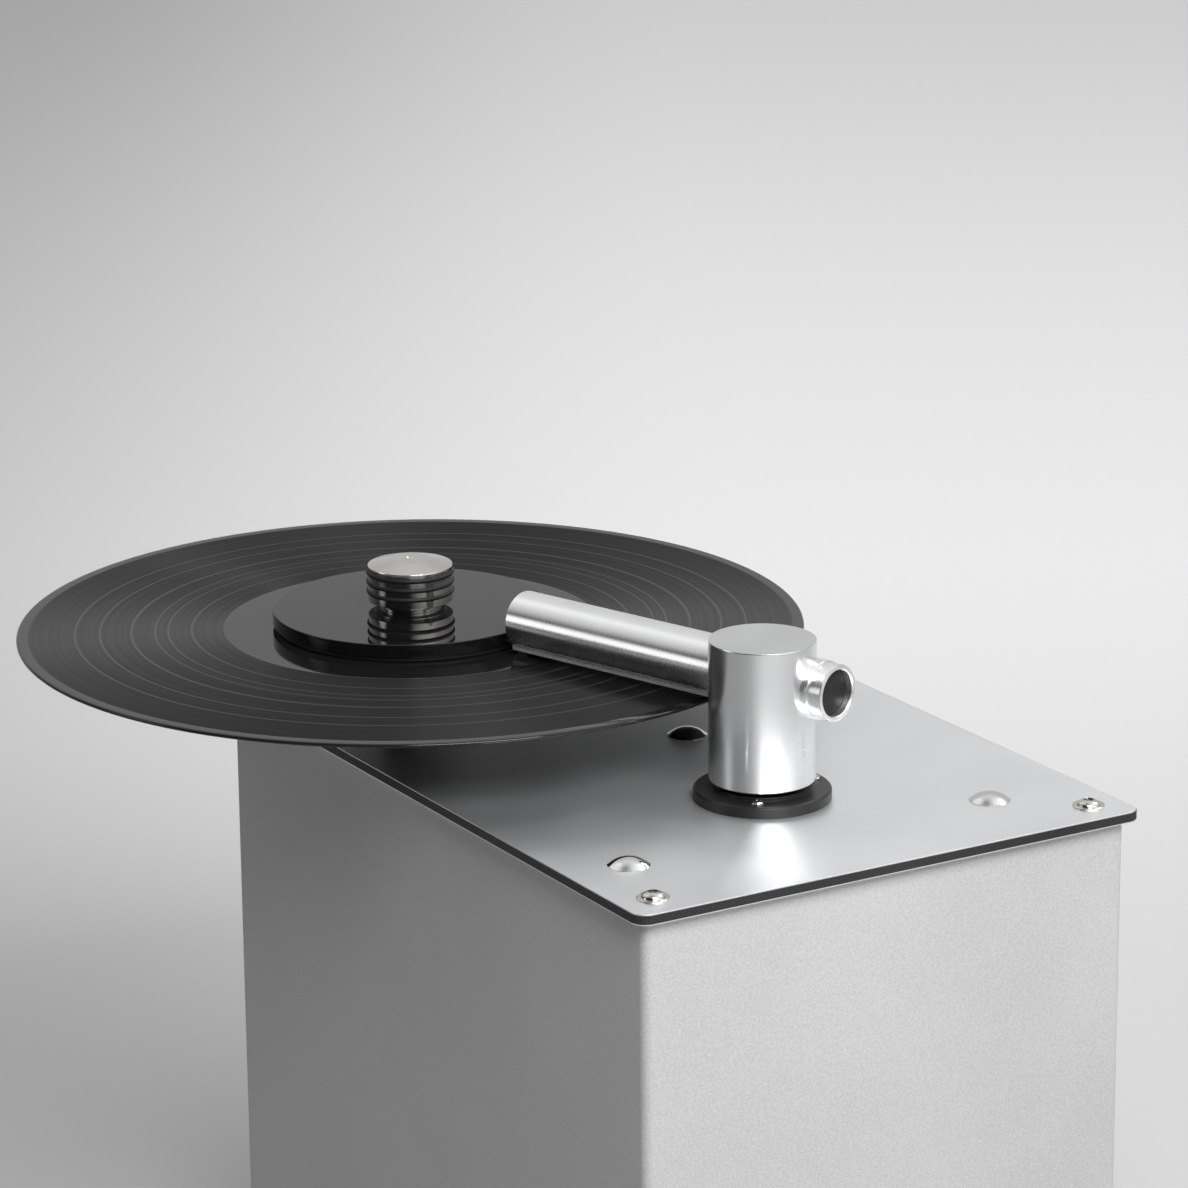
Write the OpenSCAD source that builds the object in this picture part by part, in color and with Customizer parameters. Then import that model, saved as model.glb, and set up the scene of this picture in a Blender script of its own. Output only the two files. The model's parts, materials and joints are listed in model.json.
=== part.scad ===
// Record cleaning machine: a sheet metal case with a composite top plate, a small driven platter
// that carries a twelve inch record, and a swinging suction arm that lifts liquid off the record.
// +Z is up and the floor is z = 0. The origin is the middle of the whole outline on the floor,
// with the overhanging record counted, so the longest way across runs along Y.

/* [Top plate] */
// Width of the top plate, along X
plate_w = 211; // [200:1:240]
// Length of the top plate, along Y
plate_l = 316; // [306:1:360]
// Thickness of the black core of the plate
core_t = 3; // [2:0.5:5]
// Thickness of each aluminium skin on the core
skin_t = 0.5; // [0.3:0.1:1]
// Corner radius of the plate
plate_r = 6; // [4:1:12]
// How far the plate stands past the case all round
overhang = 4.5; // [3.5:0.5:6]
// Distance of the corner screws from the plate's edges
screw_inset = 14; // [13:0.5:16]

/* [Case] */
// Height of the folded case, from the tray to the top plate
case_h = 234; // [225:1:280]
// Thickness of the case sheet
sheet_t = 1.5; // [1:0.25:2]
// Outside radius of the folded corners
bend_r = 3.5; // [2.5:0.5:6]
// Width of the flange folded in under the plate
flange_w = 18; // [15:1:19]
// Height of the tray's upturned edge
tray_lip = 14; // [8:1:18]
// Diameter of each rubber foot
foot_d = 26; // [20:1:34]
// Height of each rubber foot
foot_h = 12; // [8:1:18]
// Distance of each foot's middle from the case walls
foot_inset = 24; // [20:1:30]

/* [Record and platter] */
// Radius of a twelve inch record
record_r = 150.8; // [148:0.2:152]
// Thickness of the record in its grooves
record_t = 1.5; // [1.2:0.1:2.5]
// Thickness of the raised rim of the record
rim_t = 1.9; // [1.6:0.1:2.6]
// Distance of the platter's axis from the plate's left edge
platter_side = 53; // [48:1:58]
// Distance of the platter's axis from the plate's far edge
platter_far = 60; // [56:1:66]
// Radius of the platter
platter_r = 60; // [50:1:80]
// Thickness of the platter
platter_t = 9; // [7:0.5:14]
// Height of the platter's underside above the plate
platter_gap = 18.5; // [14:0.5:24]
// Thickness of the rubber mat
mat_t = 1.5; // [1:0.25:3]
// Radius of the spindle through the record
spindle_r = 3.55; // [3.4:0.05:3.6]
// Radius of the threaded top of the spindle
thread_r = 3; // [2.5:0.05:3.2]

/* [Clamp] */
// Radius of the clear black clamp disc
disc_r = 53; // [51:0.5:56]
// Thickness of the clamp disc
disc_t = 5.2; // [4:0.2:8]
// Thickness of the rubber ring that seals the label
seal_t = 1.8; // [1.2:0.1:3]
// Radius of the clamp knob
knob_r = 16.3; // [14:0.1:20]
// Height of the knob's rim above the disc
knob_h = 16.5; // [15:0.1:22]
// Rise of the knob's conical top over its rim
crown_h = 2.3; // [0.5:0.1:4]
// Height of the knob's stepped neck
neck_h = 2.6; // [2:0.1:4]
// Thickness of the rubber rings round the knob
ring_d = 1.9; // [1.5:0.1:2.4]
// Spacing of the rubber rings
ring_step = 3.7; // [3:0.1:4]

/* [Arm] */
// Distance of the arm's pillar from the plate's left edge
arm_side = 103.5; // [102:0.5:107]
// Distance of the arm's pillar from the plate's near edge
arm_end = 85; // [84:1:90]
// Radius of the turned pillar
pillar_r = 19.5; // [19:0.1:22]
// Gap between the pillar and its collar, in which the arm sinks
pillar_gap = 3.2; // [3:0.1:5]
// Radius of the black collar on the plate
collar_r = 25.2; // [24.5:0.1:30]
// Thickness of the collar
collar_t = 4.1; // [3:0.1:6]
// Radius of the suction tube
tube_r = 10.9; // [10:0.1:13]
// Wall of the suction tube
tube_wall = 3.4; // [3:0.1:3.8]
// Wall left at the pillar's side, past which the tubes run
side_wall = 1; // [0.8:0.1:3]
// How far the tube's tip is from the pillar's middle, along the tube
arm_reach = 120.5; // [110:0.5:123]
// How far the tail of the arm is from the pillar's middle, along the tail
tail_reach = 28.3; // [26:0.1:40]
// Thickness of the pad strips under the tube
pad_t = 2.4; // [2:0.1:3]
// Height of the pads over the record while the arm is up
hover = 1.9; // [1.7:0.1:4]
// Travel of the arm when suction draws it down
dip = 1.5; // [1:0.1:1.6]

/* [Tank and pump] */
// Radius of the waste tank
tank_r = 70; // [60:1:74]
// Height of the waste tank
tank_h = 126; // [90:1:130]
// Wall of the waste tank
tank_wall = 2.5; // [2:0.25:3.5]
// Radius of the vacuum pump's fan shell
fan_r = 58; // [50:1:60]
// Height of the fan shell
fan_h = 38; // [32:1:42]
// Radius of the pump motor
pump_r = 41; // [36:1:44]
// Height of the pump motor under its fan shell
pump_h = 72; // [64:1:80]
// Outside radius of the suction hose
hose_r = 15; // [12:0.5:16]
// Bend radius of the suction hose
hose_bend = 34; // [30:1:40]
// Outside radius of the drain tube
drain_r = 6; // [5:0.5:7]
// Length of the drain tube above its elbow
drain_l = 92; // [80:1:96]

/* [Platter drive] */
// Module of the gear teeth
gear_m = 1; // [1:0.05:1.1]
// Teeth on the gear under the platter
platter_teeth = 44; // [42:1:46]
// Teeth on each small pinion
pinion_teeth = 12; // [12:1:14]
// Teeth on the idler's large gear
idler_teeth = 40; // [36:1:42]
// Face width of the gears
gear_w = 6; // [5:0.5:7]
// Radius of the platter motor
drive_r = 24; // [20:1:26]
// Height of the platter motor
drive_h = 36; // [28:1:44]

/* [Controls] */
// Height of the rocker switches' middle under the plate
switch_drop = 35; // [32:1:50]
// Width of a rocker's opening in the case
rocker_w = 13; // [12:0.5:16]
// Height of a rocker's opening in the case
rocker_h = 19; // [17:0.5:23]
// Distance between the two rockers
rocker_step = 34; // [28:1:40]

/* [Hidden] */
$fn = 64;
eps = 0.01;
fit = 0.1;
run = 0.05;
seat = 0.1;
plate_t = core_t + 2 * skin_t;
z_case = foot_h;
z_floor = z_case + sheet_t;
z_under = z_case + case_h;
z_top = z_under + plate_t;
case_w = plate_w - 2 * overhang;
case_l = plate_l - 2 * overhang;

// The drain tube stands proud of the case's right wall and sets how far right the outline reaches.
drain_out = drain_r + 6;
clip_past = 1;
right_reach = drain_out + drain_r + clip_past - overhang;
plate_x0 = (record_r - platter_side - plate_w - right_reach) / 2;
plate_y0 = (platter_far - record_r - plate_l) / 2;
plate_mid = [plate_x0 + plate_w / 2, plate_y0 + plate_l / 2];
platter_at = [plate_x0 + platter_side, plate_y0 + plate_l - platter_far];
arm_at = [plate_x0 + arm_side, plate_y0 + arm_end];
wall_left = plate_x0 + overhang;
wall_right = plate_x0 + plate_w - overhang;
wall_near = plate_y0 + overhang;
wall_far = plate_y0 + plate_l - overhang;
corners = [for (x = [plate_x0 + screw_inset, plate_x0 + plate_w - screw_inset])
           for (y = [plate_y0 + screw_inset, plate_y0 + plate_l - screw_inset]) [x, y]];
feet_at = [for (x = [wall_left + foot_inset, wall_right - foot_inset])
           for (y = [wall_near + foot_inset, wall_far - foot_inset]) [x, y]];

// The three dome bolts hold the tank under the plate, at these places from the pillar's axis.
tank_bolts = [[-79, -37.5], [67.5, -46.5], [15.5, 76.5]];
screw_r = 2.5;
small_screw_r = 1.25;
foot_recess_r = 5;
foot_nut_r = 4.2;
foot_nut_h = 3.2;
flange_head_r = 5.8;
dome_r = 7.6;
dome_h = 3;
dome_ball_r = (dome_r * dome_r + dome_h * dome_h) / (2 * dome_h);
nut_r = 5;
nut_barrel_r = nut_r - 1.4;
corner_hole_r = screw_r + 0.3;
bolt_r = 3;
bolt_hole_r = bolt_r + 0.3;

// Platter, record and clamp levels.
z_platter = z_top + platter_gap;
z_mat = z_platter + platter_t;
z_record = z_mat + mat_t;
z_groove = z_record + record_t;
z_seal = z_groove + seat;
z_disc = z_seal + seal_t;
z_knob = z_disc + disc_t + fit;
z_knob_rim = z_knob + knob_h;
boss_r = 22;
boss_t = 6;
neck_r = 14;
neck_gap = 0.4;
boss_pilot_r = 11;
deadwax_r = 72;
knob_neck_r = 12;
crown_r = knob_r * 0.45;
ring_bed = knob_r - 0.35;
z_ring_top = knob_h - 2.7;
rim_w = 3;
rim_top = rim_t - 0.4;
seal_w = 10.8;

// Arm levels. The tube has a milled flat below, which carries the two pad strips.
flat_depth = tube_wall - 0.5;
z_pad = z_groove + hover;
z_flat = z_pad + pad_t;
z_tube = z_flat + tube_r - flat_depth;
z_pillar = z_top + collar_t + pillar_gap;
pillar_cover = 6;
z_pillar_top = z_tube + tube_r + pillar_cover;
pillar_h = z_pillar_top - z_pillar;

// The tubes run beside the pillar's axis, just inside its wall, and point at the record's middle.
arm_offset = pillar_r - tube_r - side_wall;
arm_aim = asin(arm_offset / norm(platter_at - arm_at));
arm_angle = atan2(platter_at[1] - arm_at[1], platter_at[0] - arm_at[0]) + arm_aim;
pad_w = 6.2;
slot_w = 1.6;
slot_margin = 8.8;
pad_start = pillar_r + 1.2;
pad_end = arm_reach - 0.2;
slot_start = pad_start + slot_margin;
slot_end = arm_reach - 4;
guide_r = 13.9;
guide_wall = 1.9;
tube_root = sqrt(2 * pillar_r * side_wall - side_wall * side_wall) - 1;
guide_drop = 20;
guide_flange_r = guide_r + 3;
guide_flange_t = 2.5;
z_guide = z_tube - tube_r - dip - 1;
spring_wire = 1.4;
spring_r = guide_r + 0.9 + spring_wire / 2;
well_r = spring_r + spring_wire / 2 + 0.5;
lip_r = well_r + 1.1;
spring_turns = 5;
z_spring = z_top + collar_t;
washer_t = 1;
z_washer = z_pillar + 12;
spring_h = z_washer - z_spring;
collar_screw_r = lip_r + 2.8;
collar_bore_r = guide_r + fit;
tail_r = tube_r - 0.4;
tail_bore_r = tail_r - 1.9;
tail_groove = pillar_r + 2.8;
plug_in = 3;

// Tank, pump and hose.
lid_t = 4;
seal_gasket_t = 1.5;
bolt_l = plate_t + lid_t + seal_gasket_t + 6;
dome_nut_h = 4;
dome_washer_t = 0.8;
z_tank = z_under - lid_t - seal_gasket_t - tank_h;
ear_r = 10;
tank_flange_r = tank_r + 3;
lid_clear = 0.5;
port_r = 6;
port_wall = 1.5;
z_port = z_tank + tank_wall + port_r + 2;
pump_at = [wall_right - sheet_t - fan_r - 4, wall_far - sheet_t - fan_r - 22];
mount_t = 6;
mount_r = 7;
pump_wall = 4;
z_pump = z_floor + mount_t;
z_fan = z_pump + pump_h;
z_fan_top = z_fan + fan_h;
hose_angle = atan2(pump_at[1] - arm_at[1], pump_at[0] - arm_at[0]);
hose_run = norm(pump_at - arm_at);
hose_wall = 2;
hose_bore_r = hose_r - hose_wall;
z_hose = z_under - lid_t - seal_gasket_t - tank_wall - hose_r - 6;
nozzle_l = 12;
nozzle_wall = 2;
clip_w = 8;
fan_wall = 2;
shaft_r = 4;
pump_window = 12;
fan_vent = 10;
blades = 8;
blade_t = 1.5;
blade_h = 11;
hub_r = 9;
impeller_drop = 12;
commutator_z = 7;
commutator_h = 7;
commutator_r = 13;
winding_gap = 10;
winding_end = 34;

// Platter drive. The idler sits right of the platter's axis, the motor below and right of it.
mesh_gap = 0.1;
idler_at = platter_at + [gear_m * (platter_teeth + pinion_teeth) / 2 + mesh_gap, 0];
motor_turn = -100;
motor_reach = gear_m * (idler_teeth + pinion_teeth) / 2 + mesh_gap;
drive_at = idler_at + motor_reach * [cos(motor_turn), sin(motor_turn)];
z_gear_top = z_under - 6;
z_platter_gear = z_gear_top - gear_w - 2;
z_idler_gear = z_platter_gear - gear_w - 3;
z_box = z_idler_gear - 4;
box_wall = 3;
box_x0 = platter_at[0] - gear_m * platter_teeth / 2 - 5;
box_x1 = max(idler_at[0] + gear_m * idler_teeth / 2, drive_at[0] + drive_r) + 4;
box_y0 = min(drive_at[1] - drive_r - 2, platter_at[1] - 28);
box_y1 = platter_at[1] + gear_m * platter_teeth / 2 + 6;
axle_r = 2.5;
drive_wall = 4;
drive_ring = 6;

// Controls, inlet and drain on the hidden sides.
z_switch = z_under - switch_drop;
switch_at = [for (i = [0, 1]) pump_at[1] - 6 + i * rocker_step];
switch_depth = 19;
bezel_t = 2;
bezel_w = 2.5;
rocker_pin_x = -1;
rocker_pin_r = 1;
rocker_tilt = 9;
inlet_w = 27;
inlet_h = 20;
inlet_depth = 22;
inlet_at = [plate_mid[0] + 42, z_case + 48];
inlet_cavity = [24, 16];
cavity_depth = 16;
drain_wall = 1.5;
drain_x = wall_right + drain_out;
elbow_r = drain_r + 1.6;
elbow_bore_r = drain_r - drain_wall - 1;
tube_seat = 6;
stopper_in = 8;
grip_h = 8;
z_tube_end = z_port + drain_l;
z_clip = z_port + drain_l - 22;
vent_n = 7;
vent_w = 3;
vent_l = 40;
vent_step = 8;
side_vent_l = 30;
side_vent_up = 34;
end_vent_up = 60;
end_vent_side = 32;
end_vent_x = plate_mid[0] - end_vent_side;
panel_screw_in = 7.5;
panel_hole_r = 1.5;
panel_screw_r = 1.45;
inlet_screw_x = 20;
inlet_bezel = [50, 26];

module at(p, z = 0) {
    translate([p[0], p[1], z]) children();
}

// Flat rectangle with round corners, centred.
module round_rect(w, l, r) {
    square([w - 2 * r, l], center = true);
    square([w, l - 2 * r], center = true);
    for (x = [-1, 1]) for (y = [-1, 1])
        translate([x * (w / 2 - r), y * (l / 2 - r)]) circle(r);
}

// Plan of the folded case: round at the near corners and open at the far end.
module case_plan(w, y0, y1, r) {
    translate([-w / 2, y0 + r]) square([w, y1 - y0 - r]);
    translate([-w / 2 + r, y0]) square([w - 2 * r, r + eps]);
    for (x = [-1, 1]) translate([x * (w / 2 - r), y0 + r]) circle(r);
}

// Ring round the Z axis, from one height to another.
module ring(outer, inner, h) {
    difference() {
        cylinder(r = outer, h = h);
        translate([0, 0, -1]) cylinder(r = inner, h = h + 2);
    }
}

// Row of slots, each along the local Y axis, cut right through a sheet at z = 0.
module vents(n, w, l, step) {
    for (i = [0 : n - 1])
        translate([(i - (n - 1) / 2) * step - w / 2, -l / 2, -5]) cube([w, l, 10]);
}

// Pan or button head with a flange and a six sided socket, head up, seat at z = 0.
module button_screw(flange_r, head_r, head_h, shank_r, shank_l) {
    difference() {
        rotate_extrude() polygon([[0, -shank_l], [shank_r, -shank_l], [shank_r, 0], [flange_r, 0],
            [flange_r, 0.5], [head_r + 0.3, 0.8], [head_r, 1.1], [head_r * 0.9, head_h * 0.75],
            [head_r * 0.6, head_h], [0, head_h]]);
        translate([0, 0, head_h - 1.2]) cylinder(r = head_r * 0.42, h = 2, $fn = 6);
    }
}

// Involute gear with its teeth centred on the local +X axis.
function involute(a) = tan(a) * 180 / PI - a;
function flank(teeth, m, rho) =
    let (base = m * teeth * cos(20) / 2, a = rho > base ? acos(base / rho) : 0)
    90 / teeth - backlash_deg(teeth, m) + involute(20) - involute(a);
function backlash_deg(teeth, m) = 0.07 / (m * teeth / 2) * 180 / PI;
function polar(rho, a) = [rho * cos(a), rho * sin(a)];
module gear(teeth, m, w, bore) {
    root = m * teeth / 2 - 1.2 * m;
    tip = m * teeth / 2 + 0.92 * m;
    start = max(root + 0.05, m * teeth * cos(20) / 2);
    levels = [root, start, (start + tip) / 2, tip];
    difference() {
        linear_extrude(w) polygon([for (k = [0 : teeth - 1]) each concat(
            [for (rho = levels) polar(rho, k * 360 / teeth - flank(teeth, m, rho))],
            [for (i = [3 : -1 : 0]) polar(levels[i], k * 360 / teeth + flank(teeth, m, levels[i]))])]);
        translate([0, 0, -1]) cylinder(r = bore, h = w + 2);
    }
}
// Turn of a gear that makes it mesh with another one that lies in direction psi from it.
function mesh_turn(psi, turn, teeth_a, teeth_b) =
    psi + 180 - 360 / teeth_b * (0.5 - (psi - turn) * teeth_a / 360);

// Case group.
module base_tray() {
    color("darkgray") difference() {
        union() {
            at(plate_mid, z_case) linear_extrude(sheet_t)
                square([case_w - 2 * sheet_t, case_l - 2 * sheet_t], center = true);
            at(plate_mid, z_case) difference() {
                linear_extrude(tray_lip)
                    square([case_w - 2 * sheet_t, case_l - 2 * sheet_t], center = true);
                translate([0, 0, -1]) linear_extrude(tray_lip + 2)
                    square([case_w - 4 * sheet_t, case_l - 4 * sheet_t], center = true);
            }
        }
        for (p = feet_at) at(p, z_case - 1) cylinder(r = screw_r, h = sheet_t + 2);
        at([pump_at[0], pump_at[1]], z_case) vents(vent_n, vent_w, vent_l, vent_step);
        corner_clear(z_case - 1, tray_lip + 2);
    }
}

// Space at the two near corners, where the folded walls are round.
module corner_clear(z, h) {
    for (x = [wall_left + sheet_t, wall_right - sheet_t])
        translate([x - bend_r, wall_near + sheet_t - bend_r, z]) cube([2 * bend_r, 2 * bend_r, h]);
}

module case_wrap() {
    color("silver") difference() {
        union() {
            translate([plate_mid[0], 0, z_case]) difference() {
                linear_extrude(case_h) case_plan(case_w, wall_near, wall_far, bend_r);
                translate([0, 0, -1]) linear_extrude(case_h + 2)
                    case_plan(case_w - 2 * sheet_t, wall_near + sheet_t, wall_far + 1, bend_r - sheet_t);
            }
            at([plate_mid[0], 0], z_under - sheet_t) difference() {
                linear_extrude(sheet_t) case_plan(case_w, wall_near, wall_far, bend_r);
                translate([-case_w / 2 + flange_w, wall_near + flange_w, -1])
                    cube([case_w - 2 * flange_w, case_l - 2 * flange_w, sheet_t + 2]);
            }
            for (x = [wall_left + eps, wall_right - eps - flange_w + 4])
                translate([x, wall_far - 2 * sheet_t, z_case + tray_lip])
                    cube([flange_w - 4, sheet_t, case_h - tray_lip]);
        }
        for (p = corners) at(p, z_under - sheet_t - 1) cylinder(r = nut_barrel_r, h = sheet_t + 2);
        for (b = tank_bolts) at(arm_at + b, z_under - sheet_t - 1)
            cylinder(r = ear_r + lid_clear, h = sheet_t + 2);
        at(arm_at, z_under - sheet_t - 1) cylinder(r = tank_flange_r + lid_clear, h = sheet_t + 2);
        for (y = switch_at)
            translate([wall_right - sheet_t - 1, y - rocker_w / 2, z_switch - rocker_h / 2])
                cube([sheet_t + 2, rocker_w, rocker_h]);
        translate([wall_right - sheet_t - 1, arm_at[1], z_port]) rotate([0, 90, 0])
            cylinder(r = port_r + port_wall + fit, h = sheet_t + 2);
        translate([wall_right, pump_at[1], z_case + side_vent_up]) rotate([0, 90, 0]) rotate([0, 0, 90])
            vents(vent_n, vent_w, side_vent_l, vent_step);
        for (p = panel_screw_at) translate([p[0], wall_far - sheet_t, p[1]]) rotate([90, 0, 0])
            cylinder(r = panel_hole_r, h = 2 * sheet_t, center = true);
    }
}

panel_screw_at = [for (x = [wall_left + panel_screw_in, wall_right - panel_screw_in])
                  for (z = [z_case + tray_lip + 10, z_under - sheet_t - 12]) [x, z]];

module end_panel() {
    color("silver") difference() {
        translate([wall_left + sheet_t, wall_far - sheet_t, z_case])
            cube([case_w - 2 * sheet_t, sheet_t, case_h - sheet_t]);
        translate([inlet_at[0] - inlet_w / 2, wall_far - 5, inlet_at[1] - inlet_h / 2])
            cube([inlet_w, 10, inlet_h]);
        translate([end_vent_x, wall_far, z_case + end_vent_up]) rotate([90, 0, 0]) rotate([0, 0, 90])
            vents(vent_n, vent_w, vent_l, vent_step);
        for (p = panel_screw_at) translate([p[0], wall_far - sheet_t, p[1]]) rotate([90, 0, 0])
            cylinder(r = panel_hole_r, h = 3 * sheet_t, center = true);
        for (x = [-1, 1]) translate([inlet_at[0] + x * inlet_screw_x, wall_far, inlet_at[1]])
            rotate([90, 0, 0]) cylinder(r = panel_hole_r, h = 3 * sheet_t, center = true);
    }
}

module panel_screws() {
    color("silver") {
        for (p = panel_screw_at) translate([p[0], wall_far, p[1]]) rotate([-90, 0, 0])
            button_screw(3, 2.8, 1.7, panel_screw_r, 2 * sheet_t + 3);
        for (x = [-1, 1])
            translate([inlet_at[0] + x * inlet_screw_x, wall_far + bezel_t, inlet_at[1]])
                rotate([-90, 0, 0]) button_screw(3, 2.8, 1.7, panel_screw_r, sheet_t + bezel_t + 3);
    }
}

module rubber_feet() {
    color("black") for (p = feet_at) at(p, 0) difference() {
        rotate_extrude() polygon([[0, 0], [foot_d / 2 - 2.5, 0], [foot_d / 2 - 1.5, 1],
            [foot_d / 2, foot_h - 2], [foot_d / 2, foot_h], [0, foot_h]]);
        translate([0, 0, -1]) cylinder(r = foot_recess_r, h = foot_h / 2 + 1);
        cylinder(r = screw_r, h = foot_h + 1);
    }
}

module foot_screws() {
    color("silver") for (p = feet_at) at(p, foot_h / 2) {
        mirror([0, 0, 1]) button_screw(4.6, 4.2, 2.4, screw_r - fit, foot_h / 2 + sheet_t + 5);
        translate([0, 0, foot_h / 2 + sheet_t + eps]) difference() {
            cylinder(r = foot_nut_r, h = foot_nut_h, $fn = 6);
            translate([0, 0, -1]) cylinder(r = screw_r - fit - 0.2, h = 6);
        }
    }
}

// Composite top plate: a black core between two thin skins.
module plate_layer(z, t, grow = 0) {
    difference() {
        at(plate_mid, z) linear_extrude(t) round_rect(plate_w - grow, plate_l - grow, plate_r - grow / 2);
        for (p = corners) at(p, z - 1) cylinder(r = corner_hole_r, h = t + 2);
        for (b = tank_bolts) at(arm_at + b, z - 1) cylinder(r = bolt_hole_r, h = t + 2);
        at(arm_at, z - 1) cylinder(r = guide_r + fit, h = t + 2);
        at(arm_at, z - 1) collar_screw_holes(t + 2);
        at(platter_at, z - 1) cylinder(r = boss_pilot_r + fit, h = t + 2);
    }
}

module under_skin() {
    color("gainsboro") plate_layer(z_under, skin_t, 0.6);
}

module top_core() {
    color("black") plate_layer(z_under + skin_t, core_t);
}

module top_skin() {
    color("gainsboro") plate_layer(z_under + skin_t + core_t, skin_t, 0.6);
}

module corner_screws() {
    color("silver") for (p = corners) at(p, z_top)
        button_screw(flange_head_r, 4.3, 2.7, screw_r, plate_t + sheet_t + 7);
}

module rivet_nuts() {
    color("darkgray") for (p = corners) at(p, z_under - sheet_t) {
        translate([0, 0, -9]) ring(nut_barrel_r, screw_r, 9 + sheet_t);
        translate([0, 0, -2.5]) ring(nut_r, nut_barrel_r - 0.1, 2.5);
    }
}

module dome_bolts() {
    color("white") for (b = tank_bolts) at(arm_at + b, z_top) rotate_extrude() union() {
        intersection() {
            translate([0, dome_h - dome_ball_r]) circle(dome_ball_r, $fn = 128);
            square([dome_r, dome_h]);
        }
        translate([0, -bolt_l]) square([bolt_r, bolt_l + eps]);
    }
}

module dome_nuts() {
    z_nut = z_under - lid_t - dome_nut_h - dome_washer_t;
    color("silver") for (b = tank_bolts) at(arm_at + b, z_nut) difference() {
        union() {
            cylinder(r = 5.7, h = dome_nut_h, $fn = 6);
            translate([0, 0, dome_nut_h - eps]) cylinder(r = 7, h = dome_washer_t + eps);
        }
        translate([0, 0, -1]) cylinder(r = bolt_r, h = 8);
    }
}

// Arm group.
module arm_collar() {
    color("black") at(arm_at, z_top) difference() {
        union() {
            rotate_extrude() polygon([[collar_bore_r, 0], [collar_r, 0], [collar_r, collar_t - 0.6],
                [collar_r - 0.6, collar_t], [collar_bore_r, collar_t]]);
            ring(lip_r, well_r, collar_t + pillar_gap - dip - 0.4);
        }
        translate([0, 0, -1]) collar_screw_holes(collar_t + 2);
    }
}

collar_screw_turns = [-127.5, -7.5, 112.5];
module collar_screw_holes(h) {
    for (k = collar_screw_turns) rotate(k) translate([collar_screw_r, 0, 0])
        cylinder(r = small_screw_r + 0.05, h = h);
}

module collar_screws() {
    color("silver") at(arm_at, z_top + collar_t) for (k = collar_screw_turns) rotate(k)
        translate([collar_screw_r, 0, 0]) button_screw(2.5, 2.4, 1.2, small_screw_r, collar_t + plate_t);
}

module guide_tube() {
    color("dimgray") at(arm_at, z_under - lid_t - guide_drop) difference() {
        union() {
            cylinder(r = guide_r, h = z_guide - z_under + lid_t + guide_drop);
            translate([0, 0, guide_drop + lid_t - guide_flange_t])
                cylinder(r = guide_flange_r, h = guide_flange_t);
        }
        translate([0, 0, -1]) cylinder(r = guide_r - guide_wall, h = 300);
    }
}

function spring_path(i, n, r, h, turns) =
    [r * cos(360 * turns * i / n), r * sin(360 * turns * i / n), h * i / n];

// Round wire coil, swept with flat sided rings that stand square to the wire.
module lift_spring() {
    n = spring_turns * 14;
    sides = 6;
    wire = spring_wire / 2;
    rise = spring_h - spring_wire;
    lean = atan2(rise / spring_turns, 2 * PI * spring_r);
    points = [for (i = [0 : n])
        let (turn = 360 * spring_turns * i / n, c = spring_path(i, n, spring_r, rise, spring_turns))
        for (k = [0 : sides - 1]) let (a = 360 * k / sides)
            [c[0] + wire * (cos(a) * cos(turn) + sin(a) * sin(lean) * sin(turn)),
             c[1] + wire * (cos(a) * sin(turn) - sin(a) * sin(lean) * cos(turn)),
             c[2] + wire * sin(a) * cos(lean)]];
    sides_faces = [for (i = [0 : n - 1]) for (k = [0 : sides - 1])
        let (a = i * sides + k, b = i * sides + (k + 1) % sides)
        each [[a, a + sides, b + sides], [a, b + sides, b]]];
    start_cap = [for (k = [1 : sides - 2]) [0, k, k + 1]];
    end_cap = [for (k = [1 : sides - 2]) [n * sides, n * sides + k + 1, n * sides + k]];
    color("silver") at(arm_at, z_spring + wire)
        polyhedron(points = points, faces = concat(sides_faces, start_cap, end_cap));
}

module thrust_washer() {
    color("darkgoldenrod") at(arm_at, z_washer) ring(well_r - 0.2, guide_r + run, washer_t);
}

// Puts its children on the line of the tubes, with X along the suction tube.
module arm_turn() {
    at(arm_at) rotate(arm_angle) translate([0, -arm_offset, 0]) children();
}

module arm_pillar() {
    color("lightgray") difference() {
        at(arm_at, z_pillar) rotate_extrude($fn = 96) polygon([[0, 0], [pillar_r - 0.6, 0],
            [pillar_r, 0.6], [pillar_r, pillar_h - 0.5], [pillar_r - 0.5, pillar_h], [0, pillar_h]]);
        at(arm_at, z_pillar - 1) cylinder(r = well_r, h = z_washer + washer_t - z_pillar + 1);
        at(arm_at, z_pillar - 1) cylinder(r = guide_r + run, h = z_tube - z_pillar + 3);
        arm_turn() translate([-pillar_r - 5, 0, z_tube]) rotate([0, 90, 0])
            cylinder(r = tube_r, h = 2 * pillar_r + 10);
    }
}

// Suction tube: open along a slot in its milled flat, and closed at the tip by a cap.
module suction_tube() {
    color("whitesmoke") arm_turn() translate([0, 0, z_tube]) difference() {
        rotate([0, 90, 0]) rotate_extrude($fn = 96) polygon([[tube_r - tube_wall, tube_root],
            [tube_r, tube_root], [tube_r, arm_reach - 0.5], [tube_r - 0.5, arm_reach],
            [tube_r - tube_wall, arm_reach]]);
        translate([pad_start - 0.5, -tube_r, -tube_r - 1]) cube([arm_reach, 2 * tube_r, flat_depth + 1]);
        translate([slot_start, -slot_w / 2, -tube_r - 1]) cube([slot_end - slot_start, slot_w, tube_r]);
    }
}

module tube_cap() {
    color("lightgray") arm_turn() translate([arm_reach - 5.4, 0, z_tube]) rotate([0, 90, 0])
        cylinder(r = tube_r - tube_wall, h = 5);
}

module pad_strips() {
    color("gray") arm_turn() for (side = [-1, 1])
        translate([pad_start, side * (slot_w + pad_w) / 2 - pad_w / 2, z_pad])
            cube([pad_end - pad_start, pad_w, pad_t]);
}

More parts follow.
